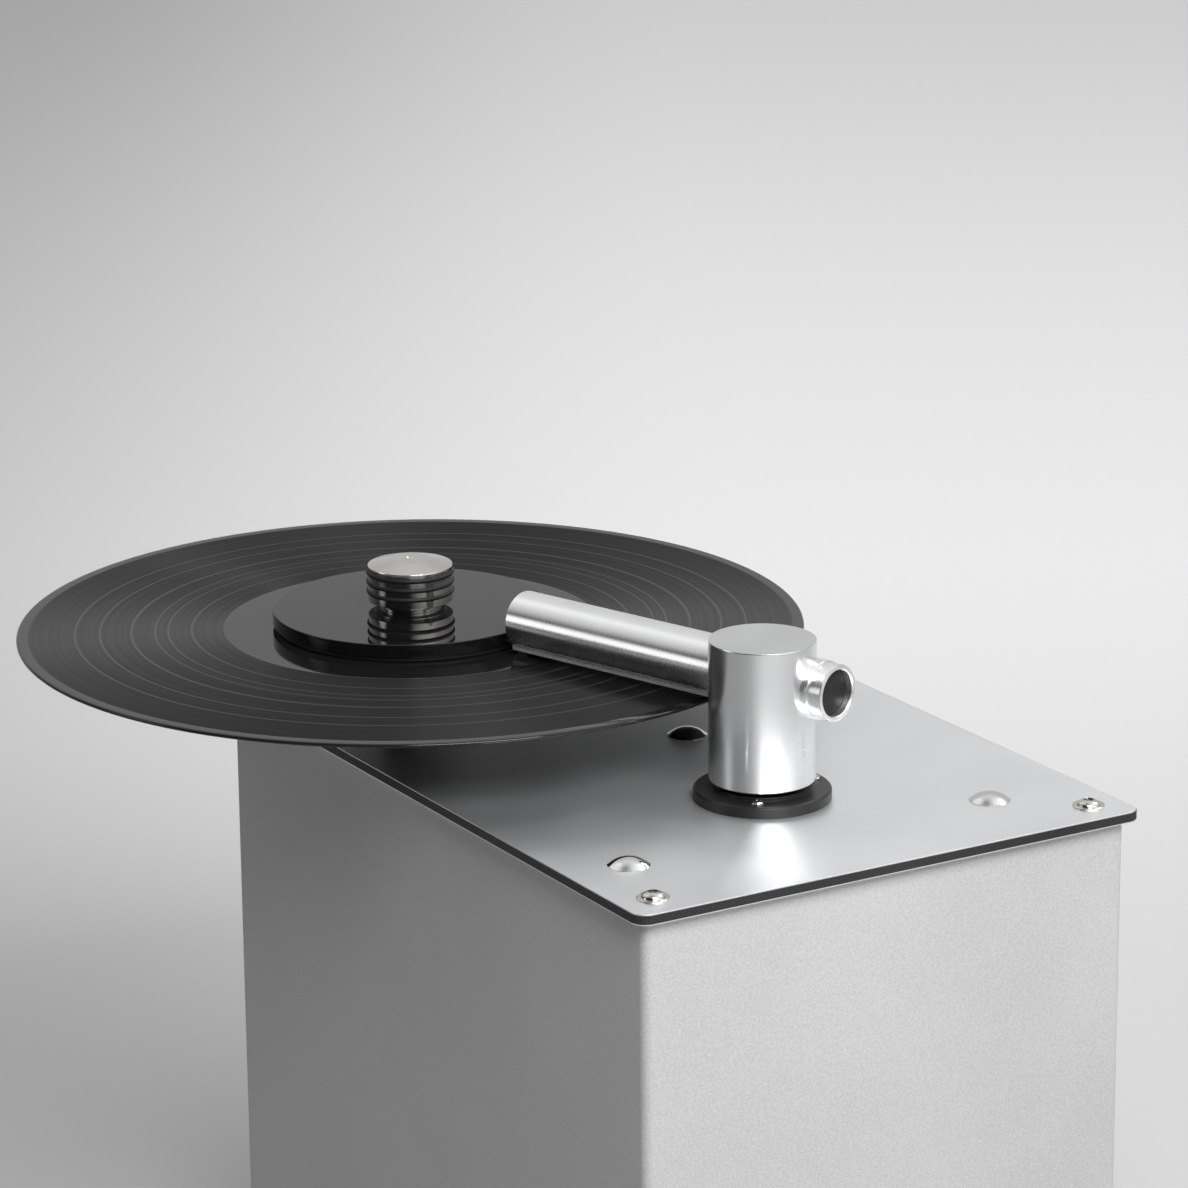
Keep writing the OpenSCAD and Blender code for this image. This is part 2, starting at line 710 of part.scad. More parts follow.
// Tail tube: its root fills the pillar's bore, and past a shallow groove it is a little thinner.
module tail_tube() {
    color("whitesmoke") arm_turn() translate([0, 0, z_tube]) rotate([0, -90, 0])
        rotate_extrude($fn = 96) polygon([[tail_bore_r, tube_root], [tube_r, tube_root],
            [tube_r, tail_groove], [tail_r - 0.4, tail_groove + 0.1],
            [tail_r - 0.4, tail_groove + 0.5], [tail_r, tail_groove + 0.6],
            [tail_r, tail_reach - 0.6], [tail_r - 0.6, tail_reach],
            [tail_bore_r + 0.4, tail_reach], [tail_bore_r, tail_reach - 0.4]]);
}

module tail_plug() {
    color("black") arm_turn() translate([-tail_reach + plug_in, 0, z_tube]) rotate([0, 90, 0])
        cylinder(r = tail_bore_r, h = tail_reach - plug_in - tube_root);
}

// Tank, pump and hose.
// Plan of the tank's lid: a disc with an ear out to each dome bolt.
module tank_flange_plan() {
    circle(tank_flange_r);
    for (b = tank_bolts) {
        translate(b) circle(ear_r);
        rotate(atan2(b[1], b[0])) translate([0, 1 - ear_r]) square([norm(b), 2 * ear_r - 2]);
    }
}

module tank_lid() {
    color("dimgray") at(arm_at, z_under - lid_t) difference() {
        linear_extrude(lid_t) difference() {
            tank_flange_plan();
            for (b = tank_bolts) translate(b) circle(bolt_hole_r);
            circle(guide_r + fit);
        }
        translate([0, 0, lid_t - guide_flange_t]) cylinder(r = guide_flange_r + fit, h = 10);
    }
}

module tank_seal() {
    color("black") at(arm_at, z_under - lid_t - seal_gasket_t)
        ring(tank_r + 1, tank_r - tank_wall - 1, seal_gasket_t);
}

module hose_way() {
    at(arm_at, z_hose) rotate(hose_angle) children();
}

module waste_tank() {
    color("lightblue") difference() {
        union() {
            at(arm_at, z_tank) ring(tank_r, tank_r - tank_wall, tank_h);
            at(arm_at, z_tank) cylinder(r = tank_r, h = tank_wall);
            hose_way() translate([tank_r - 2, 0, 0]) rotate([0, 90, 0])
                cylinder(r = hose_bore_r - fit, h = nozzle_l + 2);
            translate([arm_at[0] + tank_r - 2, arm_at[1], z_port]) rotate([0, 90, 0])
                cylinder(r = port_r, h = wall_right - sheet_t - arm_at[0] - tank_r + 2 - fit);
        }
        hose_way() translate([tank_r - 5, 0, 0]) rotate([0, 90, 0])
            cylinder(r = hose_bore_r - nozzle_wall, h = nozzle_l + 10);
        translate([arm_at[0] + tank_r - 5, arm_at[1], z_port]) rotate([0, 90, 0])
            cylinder(r = port_r - nozzle_wall, h = wall_right - arm_at[0]);
    }
}

// Suction hose: straight out of the tank, one bend, and down on to the fan shell.
module suction_hose() {
    color("dimgray") hose_way() {
        translate([tank_r + fit, 0, 0]) rotate([0, 90, 0])
            ring(hose_r, hose_bore_r, hose_run - tank_r - hose_bend - fit);
        translate([hose_run - hose_bend, 0, -hose_bend]) rotate([90, 0, 0]) rotate_extrude(angle = 90)
            translate([hose_bend, 0]) difference() {
                circle(hose_r, $fn = 48);
                circle(hose_bore_r, $fn = 48);
            }
        translate([hose_run, 0, z_fan_top - z_hose + fit])
            ring(hose_r, hose_bore_r, z_hose - hose_bend - z_fan_top - fit);
    }
}

module hose_clips() {
    color("silver") hose_way() {
        translate([tank_r + 3, 0, 0]) rotate([0, 90, 0]) ring(hose_r + 1, hose_r, clip_w);
        translate([hose_run, 0, z_fan_top - z_hose + 2]) ring(hose_r + 1, hose_r, clip_w);
    }
}

module pump_mounts() {
    color("black") for (k = [0 : 2]) at(pump_at + polar(pump_r - 8, 120 * k + 30), z_floor)
        cylinder(r = mount_r, h = mount_t);
}

module pump_frame() {
    color("dimgray") at(pump_at, z_pump) difference() {
        cylinder(r = pump_r, h = pump_h);
        translate([0, 0, pump_wall]) cylinder(r = pump_r - pump_wall, h = pump_h - 2 * pump_wall);
        translate([0, 0, -1]) cylinder(r = shaft_r + run, h = pump_h + 2);
        for (k = [0 : 5]) rotate(60 * k)
            translate([pump_r - pump_wall - 2, -pump_window / 2, 12]) cube([10, pump_window, pump_h - 24]);
    }
}

module fan_shell() {
    color("gray") at(pump_at, z_fan) difference() {
        union() {
            cylinder(r = fan_r, h = fan_h - 4);
            translate([0, 0, fan_h - 4 - eps]) cylinder(r = fan_r - 6, h = 4 + eps);
            translate([0, 0, fan_h - eps]) cylinder(r = hose_bore_r - fit, h = nozzle_l);
        }
        translate([0, 0, fan_wall]) cylinder(r = fan_r - fan_wall, h = fan_h - 4 - 2 * fan_wall);
        translate([0, 0, -1]) cylinder(r = shaft_r + run, h = 20);
        translate([0, 0, fan_h - 10]) cylinder(r = hose_bore_r - nozzle_wall, h = nozzle_l + 20);
        for (k = [0 : 7]) rotate(45 * k) translate([fan_r - 5, -fan_vent / 2, 8]) cube(fan_vent);
    }
}

module pump_armature() {
    color("peru") at(pump_at, z_pump) {
        translate([0, 0, -3]) cylinder(r = shaft_r, h = pump_h + 3 + fan_h - impeller_drop);
        translate([0, 0, commutator_z + commutator_h + 2])
            cylinder(r = pump_r - pump_wall - winding_gap, h = pump_h - winding_end);
        translate([0, 0, commutator_z]) cylinder(r = commutator_r, h = commutator_h);
    }
}

module pump_impeller() {
    color("silver") at(pump_at, z_fan + 6) difference() {
        union() {
            cylinder(r = fan_r - 6, h = blade_t);
            cylinder(r = hub_r, h = fan_h - impeller_drop - 6);
            for (k = [1 : blades]) rotate(k * 360 / blades)
                translate([hub_r - 2, -blade_t / 2, 1]) cube([fan_r - hub_r - 5, blade_t, blade_h]);
        }
        translate([0, 0, -1]) cylinder(r = shaft_r, h = 40);
    }
}

// Platter drive.
module gearbox() {
    color("gray") difference() {
        translate([box_x0, box_y0, z_box]) cube([box_x1 - box_x0, box_y1 - box_y0, z_under - z_box]);
        translate([box_x0 + box_wall, box_y0 + box_wall, z_box + box_wall])
            cube([box_x1 - box_x0 - 2 * box_wall, box_y1 - box_y0 - 2 * box_wall,
                z_gear_top + 1 - z_box - box_wall]);
        at(platter_at, z_box - 1) cylinder(r = spindle_low_r + run, h = z_under - z_box + 2);
        at(idler_at, z_box - 1) cylinder(r = axle_r + run, h = z_gear_top + 4 - z_box);
        at(drive_at, z_box - 1) cylinder(r = axle_r + run, h = box_wall + 2);
    }
}

spindle_low_r = 5;

module drive_motor() {
    color("dimgray") at(drive_at, z_box - drive_h) difference() {
        cylinder(r = drive_r, h = drive_h);
        translate([0, 0, drive_wall]) cylinder(r = drive_r - drive_ring, h = drive_h - 2 * drive_wall);
        translate([0, 0, 2]) cylinder(r = axle_r + run, h = drive_h);
    }
}

idler_turn = mesh_turn(0, 0, platter_teeth, pinion_teeth);
rotor_turn = mesh_turn(motor_turn, 0, idler_teeth, pinion_teeth);

module motor_rotor() {
    color("silver") at(drive_at) {
        translate([0, 0, z_box - drive_h + 2.5]) cylinder(r = axle_r, h = drive_h + gear_w + 5);
        translate([0, 0, z_box - drive_h + drive_wall + 2])
            cylinder(r = drive_r - drive_ring - 2, h = drive_h - 2 * drive_wall - 4);
        translate([0, 0, z_idler_gear - 0.5]) rotate(rotor_turn)
            gear(pinion_teeth, gear_m, gear_w + 1, axle_r - 1);
    }
}

module idler_gear() {
    color("white") at(idler_at) {
        translate([0, 0, z_box + 0.5]) cylinder(r = axle_r, h = z_gear_top + 2.5 - z_box);
        translate([0, 0, z_idler_gear]) gear(idler_teeth, gear_m, gear_w, axle_r - 1);
        translate([0, 0, z_idler_gear + gear_w - eps]) rotate(idler_turn)
            gear(pinion_teeth, gear_m, z_platter_gear + 1 - z_idler_gear, axle_r - 1);
    }
}

module platter_gear() {
    color("white") at(platter_at, z_platter_gear) difference() {
        union() {
            gear(platter_teeth, gear_m, gear_w, spindle_low_r);
            translate([0, 0, gear_w - eps]) cylinder(r = 9, h = 2);
        }
        translate([0, 0, -1]) cylinder(r = spindle_low_r, h = gear_w + 5);
    }
}

module bearing_boss() {
    color("silver") at(platter_at, z_under) difference() {
        union() {
            cylinder(r = boss_pilot_r, h = plate_t);
            translate([0, 0, plate_t]) cylinder(r = boss_r, h = boss_t);
        }
        translate([0, 0, -1]) cylinder(r = spindle_low_r + run, h = 40);
    }
}

module spindle() {
    color("silver") at(platter_at) {
        translate([0, 0, z_box + 0.5]) cylinder(r = spindle_low_r, h = z_platter - z_box - 0.5);
        translate([0, 0, z_platter - eps]) cylinder(r = spindle_r, h = z_disc - z_platter + eps);
        translate([0, 0, z_disc - eps]) cylinder(r = thread_r, h = z_knob_rim - 4 - z_disc);
    }
}

module platter() {
    color("dimgray") at(platter_at) difference() {
        union() {
            translate([0, 0, z_platter]) rotate_extrude($fn = 96) polygon([[0, 0], [platter_r - 3, 0],
                [platter_r, 3], [platter_r, platter_t - 0.8], [platter_r - 0.8, platter_t],
                [0, platter_t]]);
            translate([0, 0, z_top + boss_t + neck_gap])
                cylinder(r = neck_r, h = platter_gap - boss_t - neck_gap + eps);
        }
        translate([0, 0, z_top]) cylinder(r = spindle_low_r, h = platter_gap);
        translate([0, 0, z_top]) cylinder(r = spindle_r, h = 60);
    }
}

module platter_mat() {
    color("black") at(platter_at, z_mat) ring(platter_r - 1, spindle_r + 0.2, mat_t);
}

// The record: a raised rim, a groove band and a flat label area.
module record() {
    color("black") at(platter_at, z_record) rotate_extrude($fn = 180) polygon([
        [spindle_r + fit, 0], [record_r - 0.5, 0], [record_r, rim_top / 2],
        [record_r - 0.5, rim_top], [record_r - rim_w, rim_top], [record_r - rim_w - 1.5, record_t],
        [deadwax_r, record_t], [spindle_r + fit, record_t]]);
}

module label_seal() {
    color("black") at(platter_at, z_seal) ring(disc_r - 1.2, disc_r - 1.2 - seal_w, seal_t);
}

module clamp_disc() {
    color("black") at(platter_at, z_disc) difference() {
        rotate_extrude($fn = 128) polygon([[0, 0], [disc_r - 0.3, 0], [disc_r, 0.3], [disc_r, disc_t - 0.3],
            [disc_r - 0.3, disc_t], [0, disc_t]]);
        translate([0, 0, -1]) cylinder(r = spindle_r + run, h = disc_t + 2);
    }
}

// Stainless knob: a shallow cone on top, three ring grooves and a stepped neck.
module clamp_knob() {
    low = neck_h;
    top = knob_h;
    color("silver") at(platter_at, z_knob) difference() {
        rotate_extrude($fn = 96) polygon([[0, 0], [knob_neck_r, 0], [knob_neck_r, low / 2],
            [knob_neck_r + 1.6, low / 2], [knob_neck_r + 1.6, low], [knob_r - 0.3, low],
            [knob_r, low + 0.3], [knob_r, top - 0.5], [knob_r - 0.5, top],
            [crown_r, top + crown_h], [0, top + crown_h]]);
        translate([0, 0, -1]) cylinder(r = thread_r + run, h = knob_h - 2.4);
        for (k = [0 : 2]) translate([0, 0, z_ring_top - k * ring_step]) rotate_extrude($fn = 96)
            translate([ring_bed, 0]) circle(ring_d / 2 + 0.02, $fn = 24);
    }
}

module knob_rings() {
    color("black") at(platter_at, z_knob) for (k = [0 : 2]) translate([0, 0, z_ring_top - k * ring_step])
        rotate_extrude($fn = 96) translate([ring_bed, 0]) circle(ring_d / 2, $fn = 24);
}

// Electrics on the hidden sides.
board_w = 56;
board_l = 70;
board_t = 1.6;
board_up = 6;
board_at = [wall_left + sheet_t + 12, platter_at[1] - board_l];

module control_board() {
    color("darkgreen") translate([board_at[0], board_at[1], z_floor]) {
        translate([0, 0, board_up]) cube([board_w, board_l, board_t]);
        for (x = [5, board_w - 5]) for (y = [5, board_l - 5]) translate([x, y, 0])
            cylinder(r = 3, h = board_up);
        translate([6, 12, board_up + board_t - eps]) cube([10, 46, 12]);
        translate([24, 12, board_up + board_t - eps]) cube([22, 18, 15]);
    }
}

module run_capacitor() {
    color("white") translate([board_at[0] + 24, board_at[1] + 38, z_floor + board_up + board_t])
        cube([24, 20, 26]);
}

module switch_bodies() {
    color("black") for (y = switch_at) translate([wall_right, y, z_switch]) {
        translate([rocker_pin_x, 0, 0]) rotate([90, 0, 0])
            cylinder(r = rocker_pin_r, h = rocker_w - 1, center = true);
        difference() {
            union() {
                translate([-sheet_t - switch_depth, -rocker_w / 2 + fit, -rocker_h / 2 + fit])
                    cube([switch_depth + sheet_t + eps, rocker_w - 2 * fit, rocker_h - 2 * fit]);
                translate([0, -rocker_w / 2 - bezel_w, -rocker_h / 2 - bezel_w])
                    cube([bezel_t, rocker_w + 2 * bezel_w, rocker_h + 2 * bezel_w]);
            }
            translate([-7, -rocker_w / 2 + 1, -rocker_h / 2 + 1]) cube([20, rocker_w - 2, rocker_h - 2]);
        }
    }
}

// Rocker with a slightly hollow face, on the pin across its switch body.
module rocker(y, tilt) {
    w = rocker_w - 2.8;
    h = rocker_h - 3.4;
    translate([wall_right + rocker_pin_x, y, z_switch]) rotate([0, tilt, 0]) difference() {
        rotate([90, 0, 0]) linear_extrude(w, center = true) polygon([[-3.5, -h / 2 + 4], [0, -h / 2 + 0.6],
            [4.6, -h / 2], [3.4, 0], [4.6, h / 2], [0, h / 2 - 0.6], [-3.5, h / 2 - 4]]);
        rotate([90, 0, 0]) cylinder(r = rocker_pin_r + run, h = w + 2, center = true);
    }
}

module pump_rocker() {
    color("black") rocker(switch_at[0], rocker_tilt);
}

module platter_rocker() {
    color("black") rocker(switch_at[1], 0);
}

module inlet_socket() {
    color("black") translate([inlet_at[0], wall_far, inlet_at[1]]) difference() {
        union() {
            translate([-inlet_w / 2 + fit, -sheet_t - inlet_depth, -inlet_h / 2 + fit])
                cube([inlet_w - 2 * fit, inlet_depth + sheet_t + eps, inlet_h - 2 * fit]);
            translate([-inlet_bezel[0] / 2, 0, -inlet_bezel[1] / 2])
                cube([inlet_bezel[0], bezel_t, inlet_bezel[1]]);
        }
        translate([-inlet_cavity[0] / 2, bezel_t - cavity_depth, -inlet_cavity[1] / 2])
            cube([inlet_cavity[0], cavity_depth + 1, inlet_cavity[1]]);
        for (x = [-1, 1]) translate([x * inlet_screw_x, 0, 0]) rotate([90, 0, 0])
            cylinder(r = panel_hole_r, h = 20, center = true);
        for (p = pin_at) translate([p[0] - pin_w / 2, -30, p[1] - pin_h / 2]) cube([pin_w, 30, pin_h]);
    }
}

pin_at = [[-7, -1], [0, 3.4], [7, -1]];
pin_w = 2;
pin_h = 4;

module inlet_pins() {
    color("gold") for (p = pin_at)
        translate([inlet_at[0] + p[0] - pin_w / 2, wall_far - sheet_t - inlet_depth - 6,
            inlet_at[1] + p[1] - pin_h / 2]) cube([pin_w, inlet_depth + 4 + sheet_t, pin_h]);
}

// Drain: a bulkhead fitting, an elbow that turns in it, a clear tube, a stopper and an open clip.
module drain_port() {
    color("black") translate([wall_right, arm_at[1], z_port]) rotate([0, 90, 0]) difference() {
        union() {
            translate([0, 0, -sheet_t - 3]) cylinder(r = port_r + port_wall, h = sheet_t + 5);
            cylinder(r = port_r + 4, h = 2);
        }
        translate([0, 0, -20]) cylinder(r = port_r + fit, h = 20.2 - sheet_t);
        translate([0, 0, -10]) cylinder(r = drain_r - drain_wall + run, h = 40);
    }
}

module drain_elbow() {
    color("dimgray") translate([wall_right, arm_at[1], z_port]) difference() {
        union() {
            translate([-1, 0, 0]) rotate([0, 90, 0]) cylinder(r = drain_r - drain_wall, h = drain_out + 1);
            translate([2.3, 0, 0]) rotate([0, 90, 0]) cylinder(r = elbow_r, h = drain_out - 2.3);
            translate([drain_out, 0, 0]) sphere(elbow_r - 0.6);
            translate([drain_out, 0, 0]) cylinder(r = elbow_r - 0.6, h = 14);
        }
        translate([drain_out, 0, tube_seat]) cylinder(r = drain_r, h = 20);
        translate([drain_out, 0, 0]) cylinder(r = elbow_bore_r, h = 20);
        translate([-2, 0, 0]) rotate([0, 90, 0]) cylinder(r = elbow_bore_r, h = drain_out + 2);
    }
}

module drain_tube() {
    color("white") translate([drain_x, arm_at[1], z_port + tube_seat])
        ring(drain_r, drain_r - drain_wall, drain_l - tube_seat);
}

module drain_stopper() {
    color("black") translate([drain_x, arm_at[1], z_tube_end]) {
        translate([0, 0, -stopper_in]) cylinder(r = drain_r - drain_wall - run, h = stopper_in + eps);
        translate([0, 0, 0.2]) rotate_extrude() polygon([[0, -0.3], [drain_r, 0], [drain_r, 2],
            [drain_r - 2, 3.2], [drain_r - 2, grip_h - 2], [drain_r - 0.6, grip_h - 1],
            [drain_r - 0.6, grip_h], [0, grip_h]]);
    }
}

module tube_clip() {
    color("black") translate([wall_right, arm_at[1], z_clip]) difference() {
        translate([0, -drain_r + 1, 0]) cube([drain_out + drain_r + clip_past, 2 * drain_r + 2, 8]);
        translate([drain_out, 0, -1]) cylinder(r = drain_r + 0.3, h = 10);
        translate([drain_out - drain_r - 0.3, -20, -1]) cube([2 * drain_r + 0.6, 20, 10]);
    }
}

base_tray();
case_wrap();
end_panel();
panel_screws();
rubber_feet();
foot_screws();
under_skin();
top_core();
top_skin();
corner_screws();
rivet_nuts();
dome_bolts();
dome_nuts();
arm_collar();
collar_screws();
guide_tube();
lift_spring();
thrust_washer();
arm_pillar();
suction_tube();
tube_cap();
pad_strips();
tail_tube();
tail_plug();
waste_tank();
tank_seal();
tank_lid();
suction_hose();
hose_clips();
pump_mounts();
pump_frame();
fan_shell();
pump_armature();
pump_impeller();
gearbox();
drive_motor();
motor_rotor();
idler_gear();
platter_gear();
bearing_boss();
spindle();
platter();
platter_mat();
record();
label_seal();
clamp_disc();
clamp_knob();
knob_rings();
control_board();
run_capacitor();
switch_bodies();
pump_rocker();
platter_rocker();
inlet_socket();
inlet_pins();
drain_port();
drain_elbow();
drain_tube();
drain_stopper();
tube_clip();
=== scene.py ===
# %% [markdown]
# # Record cleaning machine
# A folded sheet metal case carries a composite top plate. On the plate stand a driven platter with a
# twelve inch record and its screwed clamp, and a pillar with a suction arm that swings over the record.
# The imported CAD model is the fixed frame: it says where everything is, and this script gives each
# piece its finish, its softened edges and the small forms that a CAD solid leaves out.

# %% Load the frame
import json
from math import atan2, cos, pi, radians, sin, sqrt

import bpy
from mathutils import Matrix, Vector


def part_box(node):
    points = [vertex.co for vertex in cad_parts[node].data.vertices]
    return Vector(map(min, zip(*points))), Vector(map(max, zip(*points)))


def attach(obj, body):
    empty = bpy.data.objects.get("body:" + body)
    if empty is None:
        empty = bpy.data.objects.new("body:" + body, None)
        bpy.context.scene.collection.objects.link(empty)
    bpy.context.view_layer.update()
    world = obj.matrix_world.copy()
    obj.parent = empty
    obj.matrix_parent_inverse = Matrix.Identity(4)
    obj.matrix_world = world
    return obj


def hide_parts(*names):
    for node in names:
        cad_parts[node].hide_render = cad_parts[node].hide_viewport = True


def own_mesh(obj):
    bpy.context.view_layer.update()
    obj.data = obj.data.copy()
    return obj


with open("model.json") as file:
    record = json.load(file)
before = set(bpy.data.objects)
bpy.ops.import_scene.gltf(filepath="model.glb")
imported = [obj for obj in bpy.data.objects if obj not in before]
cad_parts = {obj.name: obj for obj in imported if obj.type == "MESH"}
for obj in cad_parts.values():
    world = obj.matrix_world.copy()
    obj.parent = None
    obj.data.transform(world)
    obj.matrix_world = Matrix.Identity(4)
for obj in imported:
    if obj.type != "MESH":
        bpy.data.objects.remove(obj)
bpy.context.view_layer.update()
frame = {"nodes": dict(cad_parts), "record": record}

MM = 0.001
merge_gap = 0.000002
scene = bpy.context.scene
slot_of = {row["node"]: row["material_slot"] for row in frame["record"]["subparts"]}
body_of = {node: body for body, nodes in frame["record"]["behaviour"]["bodies"].items() for node in nodes}

# %% [markdown]
# ## Camera
# The photograph is taken from a little above the plate, with a long lens, so the verticals hardly
# converge. The camera is placed by the direction it looks from, its distance and the point it aims at,
# all worked out from the outline of the record and the edges of the plate and case.

# %% Camera
view_turn = radians(-30.58)
view_rise = radians(16.27)
view_roll = radians(-0.513)
view_distance = 1.999
aim = Vector((0.12184, 0.13898, 0.250))
away = Vector((sin(view_turn) * cos(view_rise), -cos(view_turn) * cos(view_rise), sin(view_rise)))
level = Vector((cos(view_turn), sin(view_turn), 0))
upright = away.cross(level)
right = level * cos(view_roll) + upright * sin(view_roll)
up = upright * cos(view_roll) - level * sin(view_roll)

camera = bpy.data.objects.new("camera", bpy.data.cameras.new("camera"))
scene.collection.objects.link(camera)
camera.data.sensor_width = 36
camera.data.lens = 146.37
camera.data.clip_end = 100
facing = Matrix((right, up, away)).transposed().to_4x4()
camera.matrix_world = Matrix.Translation(aim + away * view_distance) @ facing
scene.camera = camera
print("camera stands at", [round(c, 3) for c in camera.matrix_world.translation])

# %% [markdown]
# ## Small helpers
# Everything below is modelled with Blender's own operators. They act on what is selected, so each
# step first clears the selection. A finished piece has its place in its mesh and its object at the
# origin, rides on a body of the frame, takes the finish of its node's slot unless it has one, and
# hides the CAD nodes that it stands for.

# %% Selection and finishing helpers
def deselect():
    """Leaves edit mode and clears the selection."""
    if bpy.context.object and bpy.context.object.mode != "OBJECT":
        bpy.ops.object.mode_set(mode="OBJECT")
    bpy.ops.object.select_all(action="DESELECT")


def pick(piece):
    """Selects one piece alone and makes it the active one."""
    deselect()
    piece.select_set(True)
    bpy.context.view_layer.objects.active = piece


def edit(piece, mode="VERT"):
    """Opens a piece in edit mode with nothing selected."""
    pick(piece)
    bpy.ops.object.mode_set(mode="EDIT")
    bpy.ops.mesh.select_mode(type=mode)
    bpy.ops.mesh.select_all(action="DESELECT")


def add_modifier(piece, kind, **values):
    """Adds a modifier with its settings and applies it."""
    pick(piece)
    bpy.ops.object.modifier_add(type=kind)
    modifier = piece.modifiers[-1]
    for key, value in values.items():
        setattr(modifier, key, value)
    bpy.ops.object.modifier_apply(modifier=modifier.name)


def soften(piece, width=0.3, segments=2, angle=32):
    """Rounds every sharp edge, as a deburred or moulded edge is."""
    add_modifier(piece, "BEVEL", width=width * MM, segments=segments, limit_method="ANGLE",
                 angle_limit=radians(angle), use_clamp_overlap=True, harden_normals=False)


def settle(piece):
    """Puts a piece's place in its mesh, closes it and turns its faces outwards."""
    pick(piece)
    bpy.ops.object.transform_apply(location=True, rotation=True, scale=True)
    bpy.ops.object.mode_set(mode="EDIT")
    bpy.ops.mesh.select_mode(type="VERT")
    bpy.ops.mesh.select_all(action="SELECT")
    bpy.ops.mesh.remove_doubles(threshold=merge_gap)
    bpy.ops.mesh.normals_make_consistent(inside=False)
    bpy.ops.object.mode_set(mode="OBJECT")


def hand_over(piece, name, node, others=(), smooth=38):
    """Names and smooths a finished piece, puts it on its node's body, and gives it the node's finish if
    bare.

    The weighted normals keep its large faces flat, so that only the rounded edges bend the light.
    """
    pick(piece)
    bpy.ops.object.shade_smooth_by_angle(angle=radians(smooth))
    add_modifier(piece, "WEIGHTED_NORMAL", keep_sharp=True, weight=50)
    piece.name = name
    piece.data.name = name
    if not piece.data.materials or piece.data.materials[0] is None:
        piece.data.materials.clear()
        piece.data.materials.append(finish[slot_of[node]])
    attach(piece, body_of[node])
    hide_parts(node, *others)
    print(f"{name}: {len(piece.data.polygons)} faces, rides on {body_of[node]}")
    return piece


def middle_of(node):
    """The middle of a CAD node's box."""
    low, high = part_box(node)
    return (low + high) / 2


# %% [markdown]
# ## Lathe and copies
# Most parts that show on this machine come off a lathe. They could be revolved with Spin or a Screw
# modifier. Here a circle is extruded and scaled from point to point of a profile instead: that leaves
# even quads, needs no pivot, and keeps both ends open so that one face closes each. Folded and moulded
# parts are copied from the CAD node, merged to one clean mesh, and then bevelled.

# %% Lathe helper
def turned(profile, centre=(0, 0), steps=128, closed=False):
    """Turns a profile of (radius, height) points about a vertical axis, in millimetres and metres."""
    deselect()
    radius, height = profile[0]
    bpy.ops.mesh.primitive_circle_add(vertices=steps, radius=radius * MM, fill_type="NOTHING",
                                      location=(centre[0], centre[1], height * MM))
    piece = bpy.context.object
    bpy.ops.object.mode_set(mode="EDIT")
    bpy.ops.mesh.select_mode(type="EDGE")
    bpy.ops.mesh.select_all(action="SELECT")
    path = list(profile[1:]) + ([profile[0]] if closed else [])
    for next_radius, next_height in path:
        bpy.ops.mesh.extrude_edges_move()
        if next_radius != radius:
            share = next_radius / radius
            middle = (centre[0], centre[1], height * MM)
            bpy.ops.transform.resize(value=(share, share, 1), center_override=middle)
        if next_height != height:
            bpy.ops.transform.translate(value=(0, 0, (next_height - height) * MM))
        radius, height = next_radius, next_height
    if not closed:
        bpy.ops.mesh.select_mode(type="EDGE")
        bpy.ops.mesh.select_all(action="DESELECT")
        bpy.ops.mesh.select_non_manifold()
        bpy.ops.mesh.edge_face_add()
    bpy.ops.object.mode_set(mode="OBJECT")
    settle(piece)
    return piece


# %% Copy helper
def softened_copy(node, width=0.3, segments=2, angle=32):
    """Copies a CAD node, makes its loose triangles one clean mesh and rounds its sharp edges."""
    deselect()
    source = frame["nodes"][node]
    piece = bpy.data.objects.new(node + "_soft", source.data.copy())
    scene.collection.objects.link(piece)
    piece.data.materials.clear()
    pick(piece)
    bpy.ops.object.mode_set(mode="EDIT")
    bpy.ops.mesh.select_all(action="SELECT")
    bpy.ops.mesh.remove_doubles(threshold=merge_gap)
    bpy.ops.mesh.dissolve_limited(angle_limit=radians(0.5))
    bpy.ops.object.mode_set(mode="OBJECT")
    soften(piece, width, segments, angle)
    return piece


# %% [markdown]
# ## Floor
# The photograph has a plain pale grey background, darker to the left and below, and no visible
# horizon. A wide floor gives that in every view, and that darkening is painted shade in its colour.
# It could be a curved sheet, but that has a back only on one side. The paleness is in its colour as
# the camera and the mirroring metal see it, while the light that it throws back on to the machine
# comes from a much darker tone.

# %% Floor
deselect()
floor_size = 60
bpy.ops.mesh.primitive_grid_add(x_subdivisions=8, y_subdivisions=8, size=floor_size, location=(0, 0, 0))
floor = bpy.context.object
floor.name = "studio_floor"
print("floor:", floor_size, "m wide")


# %% Node helper
def node_tools(material):
    """The node list and the link call of a node material."""
    material.use_nodes = True
    tree = material.node_tree
    return tree.nodes, tree.links.new


# %% Value helpers
def value_ramp(nodes, link, source, low, high, to_low, to_high):
    """Maps a changing value smoothly from one range to another, and returns the output socket."""
    ramp = nodes.new("ShaderNodeMapRange")
    ramp.interpolation_type = "SMOOTHSTEP"
    for name, value in (("From Min", low), ("From Max", high), ("To Min", to_low), ("To Max", to_high)):
        ramp.inputs[name].default_value = value
    link(source, ramp.inputs["Value"])
    return ramp.outputs["Result"]


def maths(nodes, link, operation, first, second):
    """One Math node: each of the two inputs is a number or another node's output."""
    node = nodes.new("ShaderNodeMath")
    node.operation = operation
    for socket, source in zip(node.inputs, (first, second)):
        if isinstance(source, (int, float)):
            socket.default_value = source
        else:
            link(source, socket)
    return node.outputs[0]


# %% Floor colour
floor_paint = bpy.data.materials.new("studio_floor")
nodes, link = node_tools(floor_paint)
shader = nodes["Principled BSDF"]
shader.inputs["Roughness"].default_value = 1.0
shader.inputs["Specular IOR Level"].default_value = 0.0
place = nodes.new("ShaderNodeTexCoord")


